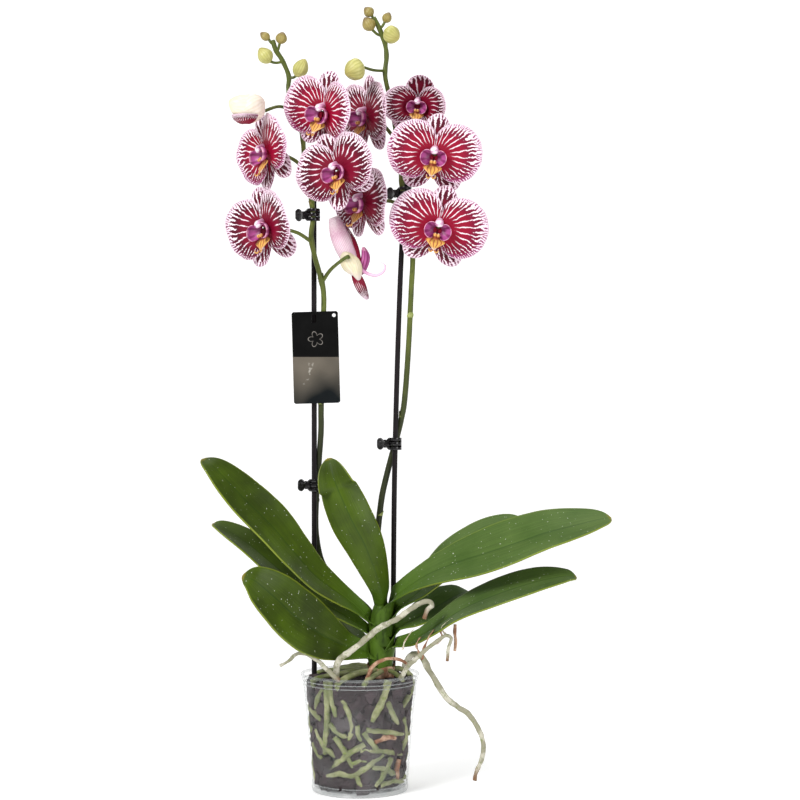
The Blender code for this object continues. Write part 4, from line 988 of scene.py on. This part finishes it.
def build_half_open_flower():
    """Upper right: the hood rolls forward over the lip, and one petal is folded with its pale edge in
    front."""
    centre, turn, tip, roll = HALF_OPEN["flower_8"]
    pose = flower_frame(centre, turn, tip, roll)
    bm = new_sheet()
    add_lobe(bm, pose, 10, 42.0, 1.1, 76, 0, 1.0, 0.0, 1, 1, 0.5, curl=72)
    add_lobe(bm, pose, 138, 34.0, 2.0, 66, 10, 1.2, 0.0, 2, 1, 0.7, curl=30)
    add_lobe(bm, pose, -138, 34.0, 2.0, 66, 10, 1.2, 0.0, 3, 1, 0.7, curl=30)
    add_lobe(bm, pose, -88, 42.0, 0.9, 80, 22, -0.4, 0.0, 4, 0, 1.0, curl=55)
    add_lobe(bm, pose, 84, 40.0, 0.9, 80, 26, -0.4, 0.0, 5, 0, 1.0, curl=45)
    # The two petals take the darker petal copy: painted shade.
    make_piece("flower_8_tepal_cup", bm, ["petal_painted_shade_full_heart", "hood", "petal_back"], ["flower_8_tepals"],
               wall=PETAL_WALL, wall_finish=2)
    bm = new_sheet()
    add_lip(bm, pose @ Matrix.Translation((0.0, -2.0, 0.0)), 0.86)
    make_piece("flower_8_lip_and_column", bm, LIP_FINISHES, ["flower_8_lip"], wall=PETAL_WALL)


def build_back_flower():
    """Middle, low down: seen from behind, with cream sepals round its stalk, one pale petal standing up
    behind them, one striped tip hanging, and the edge of the lip and its tendril showing at the right."""
    bm = new_sheet()
    standing = (0.93, 0.1, 0.34)
    add_ribbon(bm, [(-6, -17, 538), (-13, -17, 553), (-21, -13, 572), (-27, -9, 591)],
               lambda t: 3.5 + 6.2 * math.sin(math.pi * min(t * 0.9 + 0.05, 1.0)) ** 0.7, standing, 0.55)
    add_ribbon(bm, [(-3, -13, 540), (-9, -12, 556), (-15, -8, 571), (-20, -6, 583)],
               lambda t: 3.0 + 5.8 * math.sin(math.pi * min(t * 0.9 + 0.05, 1.0)) ** 0.7, standing, 0.3, 1)
    hanging = (0.92, 0.0, 0.38)
    add_ribbon(bm, [(-6, -15, 536), (-1, -16, 524), (4, -13, 513), (8, -9, 506)],
               lambda t: 5.6 * math.sin(math.pi * min(t * 0.86 + 0.12, 1.0)) ** 0.6, hanging, 0.4, 1)
    add_bud(bm, (-10, -18, 542), (8.5, 6.5, 14.0), (0.55, 0.0, -1.0), 3, 0.05)
    add_bud(bm, (-4, -17, 538), (7.0, 6.0, 13.5), (0.25, 0.1, -1.0), 3, 0.05)
    make_piece("flower_7_tepals_folded", bm, ["petal_back", "sepal", "petal_back", "bud_cream"],
               ["flower_7_tepals"], wall=PETAL_WALL)
    bm = new_sheet()
    add_ribbon(bm, [(1, -12, 531), (4, -11, 541), (6, -10, 551), (4, -9, 560)],
               lambda t: 1.0 + 4.0 * math.sin(math.pi * t) ** 0.6, (0.95, 0.3, -0.1), 0.7)
    add_tube(bm, smooth_route([(2, -15, 536), (9, -14, 532), (17, -14, 530.5), (24, -14, 534), (26, -14, 540),
                               (21, -14, 544)], 36), lambda t: 1.7 - 1.0 * t, 10, 1)
    make_piece("flower_7_lip_edge_and_tendril", bm, ["side_lobe", "column"], ["flower_7_lip"],
               wall=PETAL_WALL)


# ------------------------------------------------------------------ spikes and buds

LEFT_SPIKE = [(16, 15, 150), (11, 15, 180), (-16, 12, 206), (-38, 13, 230), (-46, 15.8, 262),
              (-46, 15.8, 298), (-43.5, 13, 332), (-40.6, 8, 371), (-40.4, 6, 402), (-38.5, 5.5, 475),
              (-37.6, 4, 511), (-41, 0.5, 530), (-47, -1.5, 552), (-50.5, -1.5, 572), (-48.5, -0.5, 592),
              (-51, -2, 614), (-57, -4, 650), (-59.5, -4, 676), (-65, -4, 694), (-72, -4, 709),
              (-74, -3, 725), (-73.5, -3, 737), (-80, -3, 753), (-87, -3, 764), (-90, -3, 774)]
RIGHT_SPIKE = [(27, 14.5, 150), (24, 15, 190), (17.5, 16, 236), (17.5, 17, 257), (22, 17.5, 298),
               (27, 17.5, 322), (33, 17.5, 345), (38, 17, 363), (43, 14, 384), (46.3, 11, 404), (50, 5, 454),
               (53, 1, 516), (54.5, -1, 552), (51, -3, 583), (44.5, -4.5, 614), (41.5, -5, 645),
               (36, -5, 686), (30, -5, 717), (26, -5, 738), (27.5, -5, 756), (26, -5, 769), (20, -5, 786),
               (14, -5, 797)]
PEDICELS = {
    "left": {"flower_7": 524, "flower_4": 566, "flower_2": 606, "flower_3": 640, "flower_1": 672},
    "right": {"flower_10": 560, "flower_6": 600, "flower_9": 628, "flower_5": 668, "flower_8": 696},
}
BUDS = {
    "left": [((-61, -5, 745), (8.0, 7.5, 10.5), (0.5, 0.0, 1.0), 736, "bud"),
             ((-98, -5, 758), (8.0, 7.5, 9.5), (-0.6, 0.0, 0.8), 752, "bud"),
             ((-81, -5, 776), (6.0, 5.5, 6.5), (0.3, 0.0, 1.0), 762, "bud_small"),
             ((-98, -4, 778), (4.5, 4.5, 6.0), (-0.8, 0.0, 0.6), 770, "bud_small")],
    "right": [((-5, -36, 738), (12.0, 11.0, 11.5), (-0.7, -0.4, -0.4), 742, "bud"),
              ((33, -12, 778), (10.0, 9.0, 9.5), (0.6, -0.3, -0.4), 758, "bud"),
              ((9, -7, 790), (7.0, 6.5, 8.0), (-0.5, 0.0, 0.8), 778, "bud_small"),
              ((28, -5, 797), (5.0, 5.0, 6.0), (0.4, 0.0, 0.8), 786, "bud_small"),
              ((9, -5, 803), (5.5, 5.5, 6.0), (-0.7, 0.0, 0.7), 796, "bud_small")],
}
SPIKE_RADIUS = 3.5
PEDICEL_RADIUS = 1.7
BUD_STALK_RADIUS = 1.45
STEM_NODES = {"left": (296, 398, 528), "right": (282, 385, 488, 560)}
OPENING_BUD = ((-113, -46, 697), (16.0, 15.0, 19.0), (-0.9, -0.3, 0.1))
OPENING_BUD_HEIGHT = 702


def point_at_height(route, height):
    for low, high in zip(route, route[1:]):
        if low[2] <= height <= high[2]:
            return Vector(low).lerp(Vector(high), (height - low[2]) / (high[2] - low[2]))
    return Vector(route[-1])


def add_bud(bm, centre, radii, lean, finish, ribs=0.045):
    """A closed bud: folded sepals show as soft ribs that meet in a blunt tip."""
    turn = Vector((0, 0, 1)).rotation_difference(Vector(lean).normalized()).to_matrix()

    def place(s, t):
        angle = math.tau * s
        swell = math.sin(math.pi * min(max(t, 0.0), 1.0)) ** 0.62 * (1.10 - 0.30 * t)
        swell *= 1 + ribs * math.cos(6 * angle) + ribs * 0.6 * math.cos(3 * angle + 0.8)
        point = Vector((radii[0] * swell * math.cos(angle), radii[1] * swell * math.sin(angle),
                        radii[2] * (2 * t - 1)))
        return Vector(centre) + turn @ point

    add_sheet(bm, 36, 24, place, finish)


def add_bract(bm, route, height, size, seed, finish=1):
    """A dry scale wrapped round the stem at a joint; size is the stem's radius there."""
    foot = point_at_height(route, height)
    axis = (point_at_height(route, height + 4) - foot).normalized()
    side = axis.orthogonal().normalized()
    other = axis.cross(side)

    def place(s, t):
        angle = seed + (s - 0.5) * math.radians(240 - 190 * t)
        radius = size * (1.08 + 0.22 * t)
        return foot + axis * (5.5 * t) + (side * math.cos(angle) + other * math.sin(angle)) * radius

    add_sheet(bm, 12, 8, place, finish)


def pedicel_radius(t):
    return PEDICEL_RADIUS * (1.2 - 0.2 * t + 0.35 * smooth_step(t, 0.75, 1.0))


def build_spike(side, route):
    """The stem, thinning upward, with a joint, a dry scale and a stalk for each flower and bud."""
    name = "flower_spike_" + side
    dense = smooth_route(route, 260)
    bm = new_sheet()
    joints = sorted(list(PEDICELS[side].values()) + [bud[3] for bud in BUDS[side]])

    def stem_radius(t):
        height = dense[round(t * 259)][2]
        swell = sum(math.exp(-((height - joint) / 4.0) ** 2) for joint in joints)
        return SPIKE_RADIUS * (1.0 - 0.36 * t) * (1 + 0.16 * min(swell, 1.0))

    add_tube(bm, dense, stem_radius, 16, 0, 0.03)
    flowers = {**FLOWERS, **HALF_OPEN}
    for flower, height in PEDICELS[side].items():
        centre, turn, tip, roll = flowers[flower][:4]
        back = (flower_frame(centre, turn, tip, roll).to_3x3() @ Vector((0, 1, 0))).normalized()
        end = Vector(centre) + back * 1.2
        start = point_at_height(dense, height)
        lean = (end - start) * 0.35 + Vector((0, 0, 5.0))
        run = smooth_route([start, start + lean, end + back * 9.0, end], 26)
        add_tube(bm, run, pedicel_radius, 10, 0, 0.05)
        add_bract(bm, dense, height - 3, 2.5, height)
    for centre, radii, lean, height, _ in BUDS[side]:
        centre = Vector(centre)
        foot = centre - Vector(lean).normalized() * radii[2] * 0.8
        start = point_at_height(dense, height)
        run = smooth_route([start, start.lerp(foot, 0.5) + Vector((0, 0, -1.5)), foot], 14)
        add_tube(bm, run, BUD_STALK_RADIUS, 10, 0, 0.05)
        add_bract(bm, dense, height - 3, 1.9, height * 1.7)
    for centre, radii, lean, height, finish in BUDS[side]:
        add_bud(bm, centre, radii, lean, 2 if finish == "bud" else 3)
    if side == "left":
        centre, radii, lean = OPENING_BUD
        end = Vector(centre) - Vector(lean).normalized() * radii[2] * 0.9
        start = point_at_height(dense, OPENING_BUD_HEIGHT)
        run = smooth_route([start, start.lerp(end, 0.5) + Vector((0, 0, 4.0)), end], 24)
        add_tube(bm, run, PEDICEL_RADIUS, 10, 0, 0.05)
    for height in STEM_NODES[side]:
        add_bract(bm, dense, height, 3.1, height, 4)
    make_piece(name + "_stem", bm, ["stem", "bract", "bud", "bud_small", "node_scale"], [name])


def build_opening_bud():
    """The bud that is parting: three white sepals over a wine-striped petal below."""
    centre, radii, lean = OPENING_BUD
    middle = Vector(centre)
    bm = new_sheet()
    add_bud(bm, middle, (radii[0] * 0.94, radii[1] * 0.94, radii[2]), lean, 0, 0.04)
    add_bud(bm, middle + Vector((5.5, -4.0, 1.5)), (12.0, 10.0, 14.5), (-0.8, -0.3, -0.5), 0, 0.05)
    add_bud(bm, middle + Vector((-5.0, -1.0, 2.0)), (12.5, 11.0, 15.0), (-1.0, -0.3, 0.35), 0, 0.05)

    def lower_petal(s, t):
        around = math.radians(-172 + 140 * s)
        down = math.radians(24 + 54 * (1 - t))
        out = 0.90 + 0.14 * (1 - t) ** 0.5
        return middle + Vector((18.0 * out * math.cos(around) * math.cos(down) - 1.0,
                                15.5 * out * math.sin(around) * math.cos(down) - 1.0, -16.5 * math.sin(down)))

    add_sheet(bm, 24, 14, lower_petal, 1)
    # The petal below the sepals takes the darker petal copy: painted shade.
    make_piece("opening_bud_sepals", bm, ["bud_opening", "petal_painted_shade_full_heart"], ["opening_bud"])


# ------------------------------------------------------------------ stakes, clips and label

LEFT_STAKE = [(-47.6, 8.0, 52.0), (-47.6, 8.0, 330.0), (-48.0, 7.0, 640.0)]
RIGHT_STAKE = [(34.0, 20.0, 30.0), (34.5, 14.5, 200.0), (36.5, 10.0, 361.0), (42.8, 5.5, 553.0),
               (50.0, 3.5, 645.0)]
CLIPS = {
    "clip_left_lower": (-46.0, 11.3, 314.0),
    "clip_left_upper": (-48.2, 3.4, 594.0),
    "clip_right_lower": (36.2, 13.4, 357.0),
    "clip_right_upper": (46.6, -0.2, 616.0),
}
STAKE_RADIUS = 2.75
CLIP_HINGE = -10.6
HINGE_SHARE = 0.35
CLIP_REACH = (6.2, 7.8)
PADDLE_LENGTH = 8.5
PADDLE_SPREAD = 20.0
TAB_RADIUS = 6.2
THREE_PRONGS = [(-6.4, -3.4), (-1.7, 1.7), (3.4, 6.4)]
TWO_PRONGS = [(-5.6, -0.8), (0.8, 5.6)]


def build_stakes():
    for side, route in (("left", LEFT_STAKE), ("right", RIGHT_STAKE)):
        bm = new_sheet()
        add_tube(bm, smooth_route(route, 60), STAKE_RADIUS, 20)
        make_piece("stake_rod_" + side, bm, ["stake"], ["support_stake_" + side])


def jaw_path(share, side):
    """Seen from above: from the finger paddle (0), past the hinge, round the stems (1)."""
    if share < HINGE_SHARE:
        back = (HINGE_SHARE - share) / HINGE_SHARE
        angle = math.radians(PADDLE_SPREAD)
        return Vector((CLIP_HINGE - back * PADDLE_LENGTH * math.cos(angle),
                       side * (1.6 + back * PADDLE_LENGTH * math.sin(angle)), 0))
    turn = math.radians(172 - 165 * (share - HINGE_SHARE) / (1 - HINGE_SHARE))
    return Vector((CLIP_REACH[0] * math.cos(turn), side * (CLIP_REACH[1] * math.sin(turn) + 0.6), 0))


def tab_height(share):
    """Half the height of the rounded paddle at this share of the jaw's path."""
    return TAB_RADIUS * math.sqrt(max(1.0 - ((share - 0.14) / 0.17) ** 2, 0.1))


def build_jaw(name, centre, side, prongs, body):
    """One half of a clip: a bent shell that ends in prongs, its paddle ribbed; the rear half holds the
    pin."""
    centre = Vector(centre)
    levels = sorted({edge for low, high in prongs for edge in (low, high)})
    span = max(abs(level) for level in levels)
    bm = new_sheet()

    def place(s, t):
        level = levels[round(t * (len(levels) - 1))]
        if s < HINGE_SHARE:
            level *= tab_height(s) / span
        return centre + jaw_path(s, side) + Vector((0, 0, level))

    add_sheet(bm, 48, len(levels) - 1, place)
    between = []
    for face in bm.faces:
        middle = face.calc_center_median() / MM - centre
        in_prong = any(low < middle.z < high for low, high in prongs)
        if middle.x > CLIP_HINGE + 3.0 and not in_prong:
            between.append(face)
    bmesh.ops.delete(bm, geom=between, context="FACES")
    jaw = make_piece(name + "_shell", bm, ["clip"], [name], body, wall=CLIP_WALL, weld=False)
    soft = jaw.modifiers.new("edges", "BEVEL")
    soft.width = 0.35 * MM
    soft.segments = 2
    soft.limit_method = "ANGLE"
    trim = new_sheet()
    for k in range(4):
        share = 0.04 + 0.06 * k
        spot = centre + jaw_path(share, side) + Vector((0, side * 0.9, 0))
        half = 0.85 * tab_height(share)
        add_tube(trim, [spot + Vector((0, 0, -half)), spot, spot + Vector((0, 0, half))], 0.45, 8)
    if side > 0:
        hinge = centre + Vector((CLIP_HINGE, 1.7, 0))
        add_tube(trim, [hinge + Vector((0, 0, -4.2)), hinge, hinge + Vector((0, 0, 4.2))], 1.3, 16)
    make_piece(name + "_grip_ribs", trim, ["clip"], (), body)


def build_clips():
    for name, centre in CLIPS.items():
        build_jaw(name + "_front_jaw", centre, -1, THREE_PRONGS, name + "_jaw")
        build_jaw(name + "_rear_jaw", centre, 1, TWO_PRONGS, PLANT)


def build_label():
    """Thin card with rounded corners, a slot for the stake and a punched hole."""
    place = Matrix.Translation(LABEL_CENTRE * MM) @ Matrix.Rotation(LABEL_TILT, 4, "Y")
    bm = new_sheet()
    bmesh.ops.create_cube(bm, size=1.0, matrix=place @ Matrix.Diagonal((*(LABEL_SIZE * MM), 1.0)))
    upright = [edge for edge in bm.edges if abs((edge.verts[0].co - edge.verts[1].co).normalized().y) > 0.9]
    bmesh.ops.bevel(bm, geom=upright, offset=LABEL_CORNER * MM, segments=8, profile=0.5, affect="EDGES",
                    material=-1)
    label = make_piece("label_card", bm, ["label"], ["plant_label"])
    holes = bmesh.new()
    slot = place @ Matrix.Translation(Vector(SLOT_CENTRE) * MM)
    bmesh.ops.create_cube(holes, size=1.0, matrix=slot @ Matrix.Diagonal((*(Vector(SLOT_SIZE) * MM), 1.0)))
    punch = place @ Matrix.Translation(Vector(HOLE_CENTRE) * MM) @ Matrix.Rotation(math.radians(90), 4, "X")
    bmesh.ops.create_cone(holes, cap_ends=True, segments=24, radius1=HOLE_RADIUS * MM,
                          radius2=HOLE_RADIUS * MM, depth=SLOT_SIZE[1] * MM, matrix=punch)
    carve(label, holes)
    label.data.set_sharp_from_angle(angle=math.radians(30))


# ------------------------------------------------------------------ studio

# The paper sweep, in mm: how long and wide it is, where it starts to rise, and the radius of that bend
PAPER_LENGTH = 8000.0
PAPER_WIDTH = 9000.0
BEND_START = 1600.0
BEND_RADIUS = 900.0
PAPER_GLOW = 0.42
SURROUND_LIGHT = 0.22
# Lamp: where it stands and how wide it is, in metres, and its power in watts
LAMPS = {
    "key": ((-1.3, -1.7, 1.8), 0.9, 52.0),
    "fill": ((1.7, -1.5, 0.9), 1.0, 18.0),
    "top": ((0.1, 0.2, 2.2), 1.2, 14.0),
}
LAMPS_AIM = Vector((0.0, 0.0, 0.45))
VIEW_FROM = (0.0414, -2.05, 0.4025)
VIEW_LENS = 89.2
VIEW_SENSOR = 36.0


def build_studio():
    """A white paper sweep under an even white surround, with a soft key lamp from the upper left."""
    sweep = new_sheet()

    def paper_sweep(s, t):
        run = t * PAPER_LENGTH - PAPER_LENGTH / 2
        rise = max(run - BEND_START, 0.0)
        bend = min(rise / BEND_RADIUS, math.pi / 2)
        height = BEND_RADIUS * (1 - math.cos(bend)) + max(rise - BEND_RADIUS * math.pi / 2, 0.0)
        away = min(run, BEND_START) + BEND_RADIUS * math.sin(bend)
        return (s * PAPER_WIDTH - PAPER_WIDTH / 2, away, height - 0.2)

    add_sheet(sweep, 2, 120, paper_sweep)
    mesh = bpy.data.meshes.new("studio_paper")
    sweep.to_mesh(mesh)
    sweep.free()
    mesh.shade_smooth()
    paper, _, shader = new_finish("studio_paper_white", Roughness=0.95, Specular_IOR_Level=0.1)
    set_inputs(shader, {"Base Color": (0.85, 0.85, 0.85, 1.0), "Emission Color": (1.0, 1.0, 1.0, 1.0),
                        "Emission Strength": PAPER_GLOW})
    mesh.materials.append(paper)
    floor = bpy.data.objects.new("studio_paper", mesh)
    bpy.context.scene.collection.objects.link(floor)
    world = bpy.data.worlds.new("studio_white")
    bpy.context.scene.world = world
    world.use_nodes = True
    background = world.node_tree.nodes["Background"]
    set_inputs(background, {"Color": (1.0, 1.0, 1.0, 1.0), "Strength": SURROUND_LIGHT})
    for name, (spot, size, power) in LAMPS.items():
        lamp = bpy.data.lights.new(name, "AREA")
        lamp.size = size
        lamp.energy = power
        obj = bpy.data.objects.new(name, lamp)
        obj.location = spot
        obj.rotation_euler = (LAMPS_AIM - Vector(spot)).to_track_quat("-Z", "Y").to_euler()
        bpy.context.scene.collection.objects.link(obj)
    bpy.context.scene.view_settings.view_transform = "Standard"


def place_camera():
    """Level with the middle of the plant, straight in front of it."""
    data = bpy.data.cameras.new("view")
    data.sensor_width = VIEW_SENSOR
    data.lens = VIEW_LENS
    camera = bpy.data.objects.new("view", data)
    camera.location = VIEW_FROM
    camera.rotation_euler = (math.radians(90), 0.0, 0.0)
    bpy.context.scene.collection.objects.link(camera)
    bpy.context.scene.camera = camera


place_camera()
build_studio()
build_pot()
build_bark()
build_wall_roots()
build_aerial_roots()
build_crown()
for number, (leaf, shape) in enumerate(LEAVES.items()):
    build_leaf(leaf, *shape, number * 1.7)
build_flowers()
build_half_open_flower()
build_back_flower()
build_spike("left", LEFT_SPIKE)
build_spike("right", RIGHT_SPIKE)
build_opening_bud()
build_stakes()
build_clips()
build_label()
